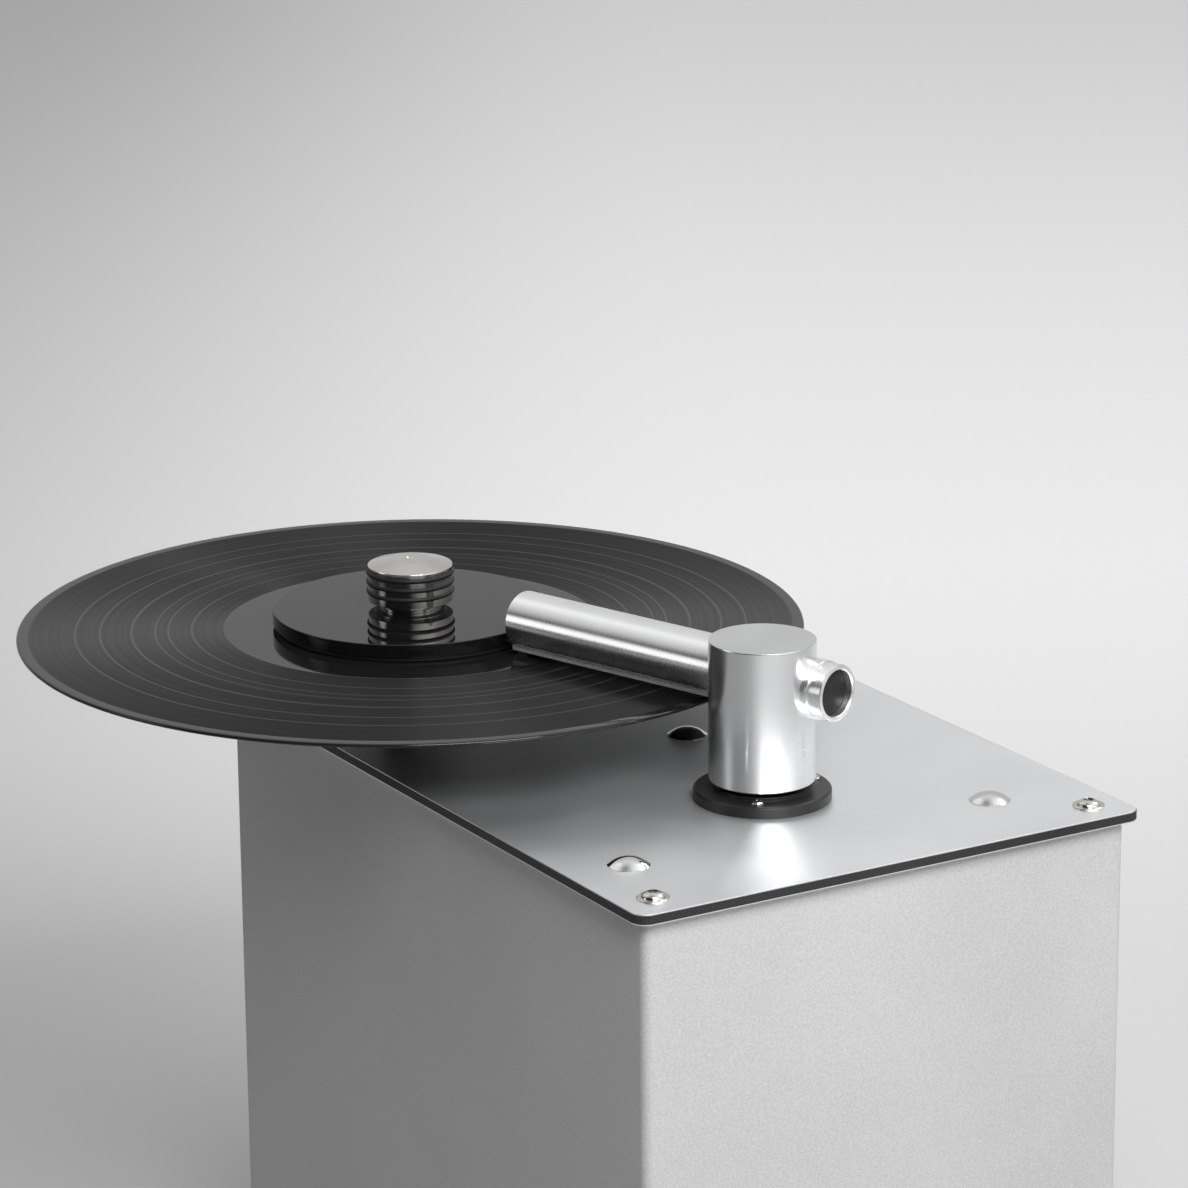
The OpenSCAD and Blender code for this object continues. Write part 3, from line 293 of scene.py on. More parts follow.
def distance_along(way):
    """How far a floor point lies along a level direction, in metres, as a socket."""
    along = nodes.new("ShaderNodeVectorMath")
    along.operation = "DOT_PRODUCT"
    along.inputs[1].default_value = (*way, 0)
    link(place.outputs["Object"], along.inputs[0])
    return along.outputs["Value"]


across = distance_along((cos(view_turn), sin(view_turn)))
beyond = distance_along((-sin(view_turn), cos(view_turn)))
floor_tone = 0.90
# painted light and shade: paler from left to right and from the machine backwards, and a little
# darker again far behind, where the light falls off and where the machine shades the floor
tone = maths(nodes, link, "MULTIPLY", value_ramp(nodes, link, across, -0.60, 0.15, 0.62, 1), floor_tone)
tone = maths(nodes, link, "MULTIPLY", tone, value_ramp(nodes, link, beyond, 0.0, 1.2, 0.60, 1))
tone = maths(nodes, link, "MULTIPLY", tone, value_ramp(nodes, link, beyond, 1.3, 3.6, 1, 0.80))
seen = nodes.new("ShaderNodeLightPath")
seen_pale = maths(nodes, link, "MAXIMUM", seen.outputs["Is Camera Ray"], seen.outputs["Is Glossy Ray"])
seen_pale = maths(nodes, link, "MAXIMUM", seen_pale, seen.outputs["Is Transmission Ray"])
bounce_tone = 0.09
# the pale tone where it is seen, the darker one where it only throws light back
tone = maths(nodes, link, "SUBTRACT", tone, bounce_tone)
tone = maths(nodes, link, "MULTIPLY", tone, seen_pale)
tone = maths(nodes, link, "ADD", tone, bounce_tone)
colour = nodes.new("ShaderNodeCombineColor")
for channel in ("Red", "Green", "Blue"):
    link(tone, colour.inputs[channel])
link(colour.outputs["Color"], shader.inputs["Base Color"])
floor.data.materials.append(floor_paint)
print("floor colour:", floor_tone, "seen,", bounce_tone, "for its light on the machine")

# %% [markdown]
# ## Studio light
# The world carries soft light from painted lobes: a broad one from the right, a narrow one from the
# left that draws the bright line along the tube, a calm glow behind, which the plate and the black
# clamp disc mirror, and a wide dim one in front for the turned pillar and the knob. They could all be
# area lamps, but a lamp's panel ends in a straight edge that shows on the floor from other sides. One
# key softbox above the near end lights the case.

# %% Studio light
world = bpy.data.worlds.new("studio")
scene.world = world
world.use_nodes = True
nodes, link = world.node_tree.nodes, world.node_tree.links.new
background = nodes["Background"]
heading = nodes.new("ShaderNodeTexCoord").outputs["Generated"]


def lobe(azimuth, rise, inner, outer, strength):
    """A soft round patch of light, in degrees: azimuth 0 is +Y and 90 is +X."""
    a, e = radians(azimuth), radians(rise)
    dot = nodes.new("ShaderNodeVectorMath")
    dot.operation = "DOT_PRODUCT"
    dot.inputs[1].default_value = (sin(a) * cos(e), cos(a) * cos(e), sin(e))
    link(heading, dot.inputs[0])
    edge, core = cos(radians(outer)), cos(radians(inner))
    return value_ramp(nodes, link, dot.outputs["Value"], edge, core, 0, strength)


glow = 0.02
# azimuth, rise, inner and outer radius in degrees, and strength
light_lobes = (
    (135, 40, 10, 60, 1.0), (-68, 7, 4, 16, 1.9), (-36, 42, 12, 34, 0.50), (86, 50, 3, 10, 8.0),
    (33, 24, 22, 70, 0.60), (0, 90, 10, 60, 0.32), (170, 5, 12, 42, 0.86))
for patch in light_lobes:
    glow = maths(nodes, link, "ADD", glow, lobe(*patch))
seen = nodes.new("ShaderNodeLightPath")
backdrop_tone = 0.62
share = maths(nodes, link, "SUBTRACT", backdrop_tone, glow)
share = maths(nodes, link, "MULTIPLY", share, seen.outputs["Is Camera Ray"])
glow = maths(nodes, link, "ADD", glow, share)
colour = nodes.new("ShaderNodeCombineColor")
for channel in ("Red", "Green", "Blue"):
    link(glow, colour.inputs[channel])
link(colour.outputs["Color"], background.inputs["Color"])
background.inputs["Strength"].default_value = 1.0
scene.view_settings.view_transform = "Standard"
print("world:", len(light_lobes), "lobes, view transform", scene.view_settings.view_transform)


# %% Key softbox
def softbox(name, spot, target, size, power):
    """A rectangular soft light that faces its target."""
    deselect()
    bpy.ops.object.light_add(type="AREA", location=spot)
    lamp = bpy.context.object
    lamp.name = name
    lamp.data.shape = "RECTANGLE"
    lamp.data.size, lamp.data.size_y = size
    lamp.data.energy = power
    lamp.rotation_euler = (Vector(spot) - Vector(target)).to_track_quat("Z", "Y").to_euler()
    return lamp


key = softbox("key_softbox", (-0.17, -0.95, 1.05), (0.04, -0.15, 0.15), (0.7, 0.5), 14)
print("lamp:", key.name, key.data.energy, "W")

# %% [markdown]
# ## Finishes
# Effects that several finishes share are node groups: a fine grain for painted, moulded and rubber
# surfaces, and turning marks for anything that came off a lathe. They read Object coordinates, so
# they stay put on a piece from every side. Each finish then sets its own constants on the shader.

# %% Group helper
def effect(name, inputs, outputs):
    """Starts a node group with named inputs and outputs."""
    tree = bpy.data.node_groups.new(name, "ShaderNodeTree")
    for label, kind, value in inputs:
        socket = tree.interface.new_socket(name=label, in_out="INPUT", socket_type=kind)
        if value is not None:
            socket.default_value = value
    for label, kind in outputs:
        tree.interface.new_socket(name=label, in_out="OUTPUT", socket_type=kind)
    return tree, tree.nodes.new("NodeGroupInput").outputs, tree.nodes.new("NodeGroupOutput").inputs


# %% Pattern helpers
def noise(nodes, link, position, scale, detail=2.0, roughness=0.5):
    """Noise over a position vector, at a fixed scale or one from a socket."""
    texture = nodes.new("ShaderNodeTexNoise")
    texture.inputs["Detail"].default_value = detail
    texture.inputs["Roughness"].default_value = roughness
    link(position, texture.inputs["Vector"])
    if isinstance(scale, (int, float)):
        texture.inputs["Scale"].default_value = scale
    else:
        link(scale, texture.inputs["Scale"])
    return texture.outputs["Fac"]


def blend_colours(nodes, link, factor, dark, pale):
    """Goes from one colour to another by a value."""
    mix = nodes.new("ShaderNodeMix")
    mix.data_type = "RGBA"
    link(factor, mix.inputs["Factor"])
    for socket, source in ((mix.inputs[6], dark), (mix.inputs[7], pale)):
        if isinstance(source, tuple):
            socket.default_value = source
        else:
            link(source, socket)
    return mix.outputs[2]


def shared(nodes, link, first, share, second):
    """Adds a share of one value to the rest of another."""
    part = maths(nodes, link, "MULTIPLY", first, share)
    rest = maths(nodes, link, "MULTIPLY", second, 1 - share)
    return maths(nodes, link, "ADD", part, rest)


def between(nodes, link, low, high, share):
    """Goes from a low to a high value by a share that changes over the surface."""
    spread = maths(nodes, link, "SUBTRACT", high, low)
    return maths(nodes, link, "ADD", low, maths(nodes, link, "MULTIPLY", spread, share))


# %% Surface grain
grain_effect, entry, result = effect(
    "surface_grain",
    (("Position", "NodeSocketVector", None), ("Grain mm", "NodeSocketFloat", 0.6),
     ("Dark", "NodeSocketColor", (0, 0, 0, 1)), ("Pale", "NodeSocketColor", (1, 1, 1, 1)),
     ("Smooth", "NodeSocketFloat", 0.3), ("Rough", "NodeSocketFloat", 0.5)),
    (("Colour", "NodeSocketColor"), ("Roughness", "NodeSocketFloat"), ("Height", "NodeSocketFloat")))
nodes, link = grain_effect.nodes, grain_effect.links.new
scale = maths(nodes, link, "DIVIDE", 1 / MM, entry["Grain mm"])
fine = noise(nodes, link, entry["Position"], scale, 2.5, 0.6)
broad = noise(nodes, link, entry["Position"], 14, 3.0)
speck = value_ramp(nodes, link, fine, 0.32, 0.68, 0, 1)
cloud = value_ramp(nodes, link, broad, 0.3, 0.7, 0, 1)
shade = shared(nodes, link, speck, 0.75, cloud)
link(blend_colours(nodes, link, shade, entry["Dark"], entry["Pale"]), result["Colour"])
mottle = shared(nodes, link, speck, 0.4, cloud)
link(between(nodes, link, entry["Smooth"], entry["Rough"], mottle), result["Roughness"])
link(fine, result["Height"])
print("effect:", grain_effect.name, "with", len(nodes), "nodes")

# %% Turning marks
turning_effect, entry, result = effect(
    "turning_marks",
    (("Position", "NodeSocketVector", None), ("Pitch mm", "NodeSocketFloat", 0.25),
     ("Dark", "NodeSocketColor", (0, 0, 0, 1)), ("Pale", "NodeSocketColor", (1, 1, 1, 1)),
     ("Smooth", "NodeSocketFloat", 0.2), ("Rough", "NodeSocketFloat", 0.3)),
    (("Colour", "NodeSocketColor"), ("Roughness", "NodeSocketFloat"), ("Height", "NodeSocketFloat")))
nodes, link = turning_effect.nodes, turning_effect.links.new
apart = nodes.new("ShaderNodeSeparateXYZ")
link(entry["Position"], apart.inputs[0])
squared = [maths(nodes, link, "MULTIPLY", apart.outputs[axis], apart.outputs[axis]) for axis in ("X", "Y")]
radius = maths(nodes, link, "SQRT", maths(nodes, link, "ADD", *squared), 0)
travel = maths(nodes, link, "ADD", radius, apart.outputs["Z"])
travel = maths(nodes, link, "DIVIDE", travel, maths(nodes, link, "MULTIPLY", entry["Pitch mm"], MM))
lines = nodes.new("ShaderNodeTexNoise")
lines.noise_dimensions = "1D"
lines.inputs["Scale"].default_value = 1.0
lines.inputs["Detail"].default_value = 3.0
link(travel, lines.inputs["W"])
broad = noise(nodes, link, entry["Position"], 45, 3.0)
cloud = value_ramp(nodes, link, broad, 0.35, 0.65, 0, 1)
streak = value_ramp(nodes, link, lines.outputs["Fac"], 0.3, 0.7, 0, 1)
shade = shared(nodes, link, streak, 0.6, cloud)
link(blend_colours(nodes, link, shade, entry["Dark"], entry["Pale"]), result["Colour"])
link(between(nodes, link, entry["Smooth"], entry["Rough"], shade), result["Roughness"])
link(lines.outputs["Fac"], result["Height"])
print("effect:", turning_effect.name, "with", len(nodes), "nodes")

# %% Finish helpers
finish = {}


def start_finish(name, **constants):
    """A new material with its constants set on the shader's own sockets."""
    material = bpy.data.materials.new(name)
    nodes, link = node_tools(material)
    shader = nodes["Principled BSDF"]
    for key, value in constants.items():
        shader.inputs[key.replace("_", " ")].default_value = value
    return material, nodes, link, shader


def drive(nodes, link, shader, effect_tree, position, size, dark, pale, rough, bump):
    """Feeds a shader's colour, roughness and bump from one of the shared effects."""
    group = nodes.new("ShaderNodeGroup")
    group.node_tree = effect_tree
    link(position, group.inputs["Position"])
    group.inputs[1].default_value = size
    group.inputs["Dark"].default_value = (*dark, 1)
    group.inputs["Pale"].default_value = (*pale, 1)
    group.inputs["Smooth"].default_value, group.inputs["Rough"].default_value = rough
    link(group.outputs["Colour"], shader.inputs["Base Color"])
    link(group.outputs["Roughness"], shader.inputs["Roughness"])
    relief = nodes.new("ShaderNodeBump")
    relief.inputs["Strength"].default_value = 1.0
    relief.inputs["Distance"].default_value = bump * MM
    link(group.outputs["Height"], relief.inputs["Height"])
    link(relief.outputs["Normal"], shader.inputs["Normal"])
    return group


def grey(value, cool=0.0):
    """A grey, a little bluer where cool is above 0."""
    return (value * (1 - cool), value, value * (1 + cool))


def grained(slot, dark, pale, grain_mm, rough, bump, **constants):
    """Painted, cast, moulded or rubber surface with a fine grain."""
    material, nodes, link, shader = start_finish(slot, **constants)
    place = nodes.new("ShaderNodeTexCoord")
    drive(nodes, link, shader, grain_effect, place.outputs["Object"], grain_mm, dark, pale, rough, bump)
    finish[slot] = material
    return material


# %% Turned finish helper
def lathed(name, centre, axis_turn, pitch_mm, dark, pale, rough, bump, along=0.7, **constants):
    """Turned metal: rings about an axis, with highlights drawn out across them."""
    material, nodes, link, shader = start_finish(name, **constants)
    shader.inputs["Anisotropic"].default_value = along
    shader.inputs["Anisotropic Rotation"].default_value = 0.25
    place = nodes.new("ShaderNodeTexCoord")
    local = nodes.new("ShaderNodeMapping")
    local.vector_type = "TEXTURE"
    local.inputs["Location"].default_value = centre
    local.inputs["Rotation"].default_value = axis_turn
    link(place.outputs["Object"], local.inputs["Vector"])
    drive(nodes, link, shader, turning_effect, local.outputs["Vector"], pitch_mm, dark, pale, rough, bump)
    around = nodes.new("ShaderNodeVectorMath")
    around.operation = "CROSS_PRODUCT"
    around.inputs[0].default_value = (0, 0, 1)
    link(local.outputs["Vector"], around.inputs[1])
    back = nodes.new("ShaderNodeMapping")
    back.vector_type = "VECTOR"
    back.inputs["Rotation"].default_value = axis_turn
    link(around.outputs["Vector"], back.inputs["Vector"])
    world_way = nodes.new("ShaderNodeVectorTransform")
    world_way.vector_type = "VECTOR"
    world_way.convert_from, world_way.convert_to = "OBJECT", "WORLD"
    link(back.outputs["Vector"], world_way.inputs["Vector"])
    link(world_way.outputs["Vector"], shader.inputs["Tangent"])
    return material


# %% [markdown]
# ## Axes
# The axes that the turned finishes need come from the frame: the platter's axis is the spindle's and
# the arm's is the pillar's. The two tubes share a line that runs beside the pillar's axis, from the
# tail's plug to the suction tube's cap. Its foot is its nearest point to the pillar's axis.

# %% Axes from the frame
platter_axis = middle_of("spindle").to_2d()
arm_axis = middle_of("arm_pillar").to_2d()
tube_tip, tube_back = middle_of("tube_cap"), middle_of("tail_plug")
tube_height = tube_tip.z
arm_line = (tube_tip - tube_back).to_2d().normalized()
arm_way = atan2(arm_line.y, arm_line.x)
arm_foot = tube_back.to_2d() + arm_line * (arm_axis - tube_back.to_2d()).dot(arm_line)
upright_at_arm = (arm_axis.x, arm_axis.y, 0)
upright_at_platter = (platter_axis.x, platter_axis.y, 0)
print("arm at", [round(c, 4) for c in arm_axis], "platter at", [round(c, 4) for c in platter_axis])

# %% [markdown]
# ## Paints, plastics and rubbers
# Paint, plastic and rubber are never one flat colour. Each goes between a dark and a pale tone in a
# fine grain, with a roughness and a slight relief that follow it. A row gives the two tones, the grain
# in millimetres, the two roughness values and the depth of the relief. Pictures could do the same, but
# they would have to be stretched over every piece, and a pattern in space needs no unwrapping.

# %% Paints, plastics and rubbers
grained("case_paint", grey(0.53), grey(0.67), 0.75, (0.42, 0.58), 0.035, Metallic=0.18)
grained("tray_steel", grey(0.42), grey(0.52), 0.5, (0.35, 0.5), 0.01, Metallic=1.0)
grained("plate_skin", grey(0.78, 0.018), grey(0.88, 0.018), 0.30, (0.36, 0.45), 0.006, Metallic=0.92)
grained("plate_core", grey(0.006), grey(0.05), 0.45, (0.45, 0.7), 0.08, Specular_IOR_Level=0.3)
grained("zinc_steel", grey(0.50), grey(0.62), 0.4, (0.22, 0.36), 0.006, Metallic=1.0)
grained("spring_steel", grey(0.35), grey(0.48), 0.3, (0.2, 0.35), 0.006, Metallic=1.0)
grained("bronze", (0.42, 0.26, 0.10), (0.55, 0.36, 0.16), 0.4, (0.3, 0.45), 0.01, Metallic=1.0)
grained("rubber_black", grey(0.006), grey(0.014), 0.3, (0.45, 0.6), 0.012, Specular_IOR_Level=0.3)
grained("hose_rubber", grey(0.016), grey(0.035), 0.5, (0.55, 0.75), 0.03)
grained("tank_plastic", (0.55, 0.62, 0.66), (0.66, 0.72, 0.75), 0.6, (0.3, 0.45), 0.01)
grained("motor_black", grey(0.02), grey(0.045), 0.5, (0.4, 0.55), 0.02)
grained("copper_winding", (0.42, 0.16, 0.06), (0.60, 0.27, 0.12), 0.4, (0.25, 0.4), 0.05, Metallic=1.0)
grained("cast_zinc", grey(0.38), grey(0.50), 0.8, (0.45, 0.6), 0.04, Metallic=0.8)
grained("white_nylon", (0.66, 0.65, 0.60), (0.76, 0.75, 0.70), 0.5, (0.4, 0.55), 0.01)
grained("board_green", (0.015, 0.10, 0.04), (0.025, 0.16, 0.06), 0.6, (0.3, 0.45), 0.01)
grained("switch_black", grey(0.012), grey(0.026), 0.35, (0.35, 0.5), 0.015)
grained("brass_pin", (0.62, 0.45, 0.16), (0.75, 0.56, 0.24), 0.4, (0.2, 0.35), 0.005, Metallic=1.0)
grained("dark_anodised", grey(0.025), grey(0.05), 0.3, (0.28, 0.4), 0.006, Metallic=0.6)
felt = grained("grey_felt", grey(0.10), grey(0.42), 0.45, (0.85, 1.0), 0.25)
felt.node_tree.nodes["Principled BSDF"].inputs["Sheen Weight"].default_value = 0.5
print("plain finishes:", len(finish))

# %% [markdown]
# ## Turned metals
# Turned aluminium and steel keep fine rings about the axis they were turned on, and these draw every
# light out into a band across them. Anisotropy on the shader does that, once its tangent runs round
# the axis. A UV tangent would break at the seam, so the tangent is worked out from the position.

# %% Turned metals
upright_turn = (0, 0, 0)
tube_turn = (0, pi / 2, arm_way)
tube_middle = (arm_foot.x, arm_foot.y, tube_height)
# painted shade: the pillar's turned aluminium is set darker than the same metal on the tubes below, to take
# down the light that it catches
finish["turned_aluminium"] = lathed(
    "turned_aluminium", upright_at_arm, upright_turn, 0.30, grey(0.72, 0.008), grey(0.82, 0.008),
    (0.18, 0.28), 0.0020, 0.45, Metallic=1.0)
tube_aluminium = lathed(
    "tube_aluminium", tube_middle, tube_turn, 0.30, grey(0.86, 0.005), grey(0.92, 0.005),
    (0.24, 0.30), 0.0010, 0.75, Metallic=1.0)
finish["stainless"] = lathed(
    "stainless", upright_at_platter, upright_turn, 0.22, (0.56, 0.55, 0.52), (0.68, 0.67, 0.64),
    (0.10, 0.18), 0.0015, 0.5, Metallic=1.0)
finish["black_acetal"] = lathed(
    "black_acetal", upright_at_arm, upright_turn, 0.35, grey(0.008), grey(0.016),
    (0.30, 0.42), 0.004, 0.4, Specular_IOR_Level=0.35)
polished = grained("polished_steel", grey(0.66), grey(0.74), 0.6, (0.03, 0.07), 0.0, Metallic=1.0)
print("turned finishes about the arm, the tubes and the platter, and one polish")

# %% [markdown]
# ## Vinyl and acrylic
# The record's grooves run round, so its highlights are drawn out across them into the fans of light
# that every record shows. Its rim and the band next to the label are pressed smooth and mirror like
# glass. Real grooves would take millions of faces, so they are a finish: rings of noise over the
# distance from the axis, with smoother lines for the gaps between tracks, whose paler colour is a
# painted sheen. The clamp disc is polished black acrylic.

# %% Ring helpers
def radius_mm(nodes, link, centre):
    """Distance from an upright axis, in millimetres, as a socket."""
    place = nodes.new("ShaderNodeTexCoord")
    local = nodes.new("ShaderNodeMapping")
    local.vector_type = "TEXTURE"
    local.inputs["Location"].default_value = centre
    link(place.outputs["Object"], local.inputs["Vector"])
    flat = nodes.new("ShaderNodeVectorMath")
    flat.operation = "MULTIPLY"
    flat.inputs[1].default_value = (1 / MM, 1 / MM, 0)
    link(local.outputs["Vector"], flat.inputs[0])
    length = nodes.new("ShaderNodeVectorMath")
    length.operation = "LENGTH"
    link(flat.outputs["Vector"], length.inputs[0])
    return length.outputs["Value"]


def ring_noise(nodes, link, radius, width_mm, detail=2.0):
    """Noise that changes only with the distance from the axis."""
    texture = nodes.new("ShaderNodeTexNoise")
    texture.noise_dimensions = "1D"
    texture.inputs["Scale"].default_value = 1 / width_mm
    texture.inputs["Detail"].default_value = detail
    link(radius, texture.inputs["W"])
    return texture.outputs["Fac"]


# %% Grooved vinyl
track_gaps_mm = (128.5, 119.0, 107.0, 98.0, 93.0, 84.0)
grooved = lathed("grooved_vinyl", upright_at_platter, upright_turn, 0.4, grey(0.008), grey(0.014),
                 (0.30, 0.36), 0.0, 1.0, IOR=1.5, Specular_IOR_Level=0.19)
nodes, link = node_tools(grooved)
shader = nodes["Principled BSDF"]
radius = radius_mm(nodes, link, upright_at_platter)
bands = value_ramp(nodes, link, ring_noise(nodes, link, radius, 2.2, 3.0), 0.35, 0.65, 0, 1)
gaps = 0.0
for gap in track_gaps_mm:
    distance = maths(nodes, link, "ABSOLUTE", maths(nodes, link, "SUBTRACT", radius, gap), 0)
    gaps = maths(nodes, link, "ADD", gaps, value_ramp(nodes, link, distance, 0.25, 0.6, 1, 0))
base = blend_colours(nodes, link, bands, (*grey(0.004), 1), (*grey(0.010), 1))
# painted sheen: the track gaps get a paler colour for the light that their smooth land reflects; their lower
# roughness below is real
base = blend_colours(nodes, link, gaps, base, (*grey(0.03), 1))
link(base, shader.inputs["Base Color"])
rough = maths(nodes, link, "ADD", 0.34, maths(nodes, link, "MULTIPLY", bands, 0.08))
rough = maths(nodes, link, "SUBTRACT", rough, maths(nodes, link, "MULTIPLY", gaps, 0.10))
link(rough, shader.inputs["Roughness"])
for node in nodes:
    if node.bl_idname == "ShaderNodeBump":
        node.inputs["Distance"].default_value = 0.004 * MM
        link(ring_noise(nodes, link, radius, 0.45, 2.0), node.inputs["Height"])
finish["black_vinyl"] = grooved
print("grooved vinyl with", len(track_gaps_mm), "track gaps")

# %% Smooth vinyl and acrylic
smooth_vinyl = grained("smooth_vinyl", grey(0.007), grey(0.011), 0.8, (0.05, 0.09), 0.0,
                       IOR=1.5, Specular_IOR_Level=0.32)
acrylic = grained("black_acrylic", grey(0.004), grey(0.006), 1.5, (0.015, 0.03), 0.0,
                  IOR=1.49, Specular_IOR_Level=0.28)
print("smooth blacks:", smooth_vinyl.name, acrylic.name)

# %% [markdown]
# ## Clear tube
# The drain tube is clear soft plastic, so that the liquid level can be seen. Its Metallic and
# Transmission are plain constants, and only its colour and roughness change a little over it.

# %% Clear tube
clear, nodes, link, shader = start_finish("clear_tube", Transmission_Weight=1.0, IOR=1.45)
place = nodes.new("ShaderNodeTexCoord")
drive(nodes, link, shader, grain_effect, place.outputs["Object"], 2.0,
      (0.88, 0.90, 0.90), (0.95, 0.96, 0.96), (0.04, 0.10), 0.0)
finish["clear_tube"] = clear

# %% Finishes on the CAD nodes
for node, piece in frame["nodes"].items():
    piece.data.materials.clear()
    piece.data.materials.append(finish[slot_of[node]])
print("finishes:", len(finish), "and every CAD node has one")

# %% [markdown]
# ## Record
# The record is pressed in one piece, but it has three surfaces: a smooth raised rim, the band of
# grooves, and the smooth middle with the run-out. One disc with three materials could show them. Three
# turned rings that meet flush are made instead, so that each keeps one finish and its own edge. The
# rim keeps a hair inside the CAD solid's box, since its corners lie elsewhere on the circle.

# %% Record rim
record_low, record_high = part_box("record")
z_record = record_low.z / MM
rim_margin = 0.02
record_r = (record_high.x - record_low.x) / 2 / MM - rim_margin
groove_out, groove_in, hole = 146.3, 72, 3.7
groove_top, rim_top, rim_inner = z_record + 1.45, z_record + 1.5, 147.8
edge_r = 0.75
platter_xy = (platter_axis.x, platter_axis.y)

rim_round = [(record_r - edge_r + edge_r * cos(radians(a)), z_record + edge_r + edge_r * sin(radians(a)))
             for a in range(-90, 91, 20)]
rim_shape = [(groove_out, z_record)] + rim_round + [(rim_inner, rim_top), (groove_out, groove_top)]
rim = turned(rim_shape, platter_xy, 256, closed=True)
rim.data.materials.append(smooth_vinyl)
hand_over(rim, "record_rim", "record")

# %% Groove band
band_shape = [(groove_in, z_record), (groove_out, z_record),
              (groove_out, groove_top), (groove_in, groove_top)]
band = turned(band_shape, platter_xy, 256, closed=True)
hand_over(band, "record_groove_band", "record")

# %% Run-out
run_out_shape = [(hole, z_record), (groove_in, z_record), (groove_in, groove_top),
                 (groove_in - 0.3, rim_top), (hole + 0.2, rim_top), (hole, z_record + 1.3)]
run_out = turned(run_out_shape, platter_xy, 192, closed=True)
run_out.data.materials.append(smooth_vinyl)
hand_over(run_out, "record_run_out", "record")

# %% [markdown]
# ## Clamp
# A disc of polished black acrylic presses a soft ring seal on the label. A plain cylinder would have
# a hard edge that catches no light, so both are turned from profiles with their edges eased.

# %% Clamp disc
disc_low, disc_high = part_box("clamp_disc")
z_disc, disc_t = disc_low.z / MM, (disc_high.z - disc_low.z) / MM
disc_r, bore, edge = 53, 3.6, 0.5
z_disc_top = z_disc + disc_t
disc_shape = [(bore, z_disc), (disc_r - edge, z_disc), (disc_r - 0.12, z_disc + 0.14),
              (disc_r, z_disc + edge), (disc_r, z_disc_top - edge), (disc_r - 0.12, z_disc_top - 0.14),
              (disc_r - edge, z_disc_top), (bore, z_disc_top)]
disc = turned(disc_shape, platter_xy, 192, closed=True)
hand_over(disc, "clamp_disc_acrylic", "clamp_disc")

# %% Label seal
seal_low, seal_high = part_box("label_seal")
z_seal, seal_top, seal_r = seal_low.z / MM, seal_high.z / MM, (seal_high.x - seal_low.x) / 2 / MM
seal_w = 10.8
seal_shape = [(seal_r - seal_w + edge, z_seal), (seal_r - edge, z_seal), (seal_r, z_seal + edge),
              (seal_r, seal_top), (seal_r - seal_w, seal_top), (seal_r - seal_w, z_seal + edge)]
seal = turned(seal_shape, platter_xy, 160, closed=True)
hand_over(seal, "clamp_label_seal", "label_seal")

# %% [markdown]
# The stainless knob has a stepped neck, a shallow conical top with a small flat in its middle, and
# three round grooves with rubber rings for grip. Grooves could be cut into a cylinder with Booleans.
# Here its whole outline is one profile, from the bore over neck, grooves and crown, so that one turn
# makes it in even quads. The rings are tori, a hair thinner than their grooves.

# %% Clamp knob
knob_low, knob_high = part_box("clamp_knob")
z_knob, knob_top, knob_r = knob_low.z / MM, knob_high.z / MM, (knob_high.x - knob_low.x) / 2 / MM
neck_r, neck_h, crown_h, ring_r, ring_step = 12, 2.6, 2.3, 0.97, 3.7
knob_rim = knob_top - crown_h
z_neck, z_step = z_knob + neck_h, z_knob + neck_h / 2
ring_depth = 0.35
ring_bed = knob_r - ring_depth
rings_z = [knob_rim - 2.7 - ring_step * k for k in (2, 1, 0)]
outline = [(3.2, z_knob), (neck_r, z_knob), (neck_r, z_step), (neck_r + 1.4, z_step),
           (neck_r + 1.6, z_step + 0.2), (neck_r + 1.6, z_neck),
           (knob_r - 0.35, z_neck), (knob_r - 0.1, z_neck + 0.1), (knob_r, z_neck + 0.35)]
half_mouth = sqrt(ring_r * ring_r - ring_depth * ring_depth)
for ring_z in rings_z:
    for step in range(7):
        height = -half_mouth + 2 * half_mouth * step / 6
        groove = ring_bed - sqrt(max(ring_r * ring_r - height * height, 0))
        outline.append((groove if 0 < step < 6 else knob_r, ring_z + height))
outline += [(knob_r, knob_rim - 0.4), (knob_r - 0.12, knob_rim - 0.12), (knob_r - 0.4, knob_rim + 0.02),
            (knob_r * 0.47, knob_top - 0.08), (knob_r * 0.44, knob_top), (1.6, knob_top),
            (1.2, knob_top - 0.35)]
bore_end = [(0.5, knob_rim - 3.4), (3.2, knob_rim - 3.4)]
knob = turned(bore_end + outline + [(0.4, knob_top - 0.55)], platter_xy, 160)
hand_over(knob, "clamp_knob_turned", "clamp_knob", smooth=30)

# %% Knob rings
ring_wire_r = 0.95
for count, ring_z in enumerate(rings_z):
    deselect()
    bpy.ops.mesh.primitive_torus_add(
        location=(platter_axis.x, platter_axis.y, ring_z * MM), major_segments=128, minor_segments=20,
        major_radius=ring_bed * MM, minor_radius=ring_wire_r * MM)
    settle(bpy.context.object)
    hand_over(bpy.context.object, f"knob_ring_{count + 1}", "knob_rings", smooth=60)

# %% [markdown]
# ## Arm
# The pillar is turned from aluminium and bored crosswise, beside its axis, for two tubes: the suction
# tube over the record and a short tail behind. Modelling them where they lie would need a turned frame
# for every step, so each is made upright on the origin, and one matrix then lays it along the arm.

# %% Arm placing
arm_lay = Matrix.Translation((arm_foot.x, arm_foot.y, tube_height)) @ Matrix.Rotation(arm_way, 4, "Z")
lay_tube = arm_lay @ Matrix.Rotation(pi / 2, 4, "Y")
lay_tail = arm_lay @ Matrix.Rotation(-pi / 2, 4, "Y")


def lay(piece, matrix):
    """Moves a piece by a matrix and puts the new place in its mesh."""
    piece.matrix_world = matrix @ piece.matrix_world
    settle(piece)
    return piece


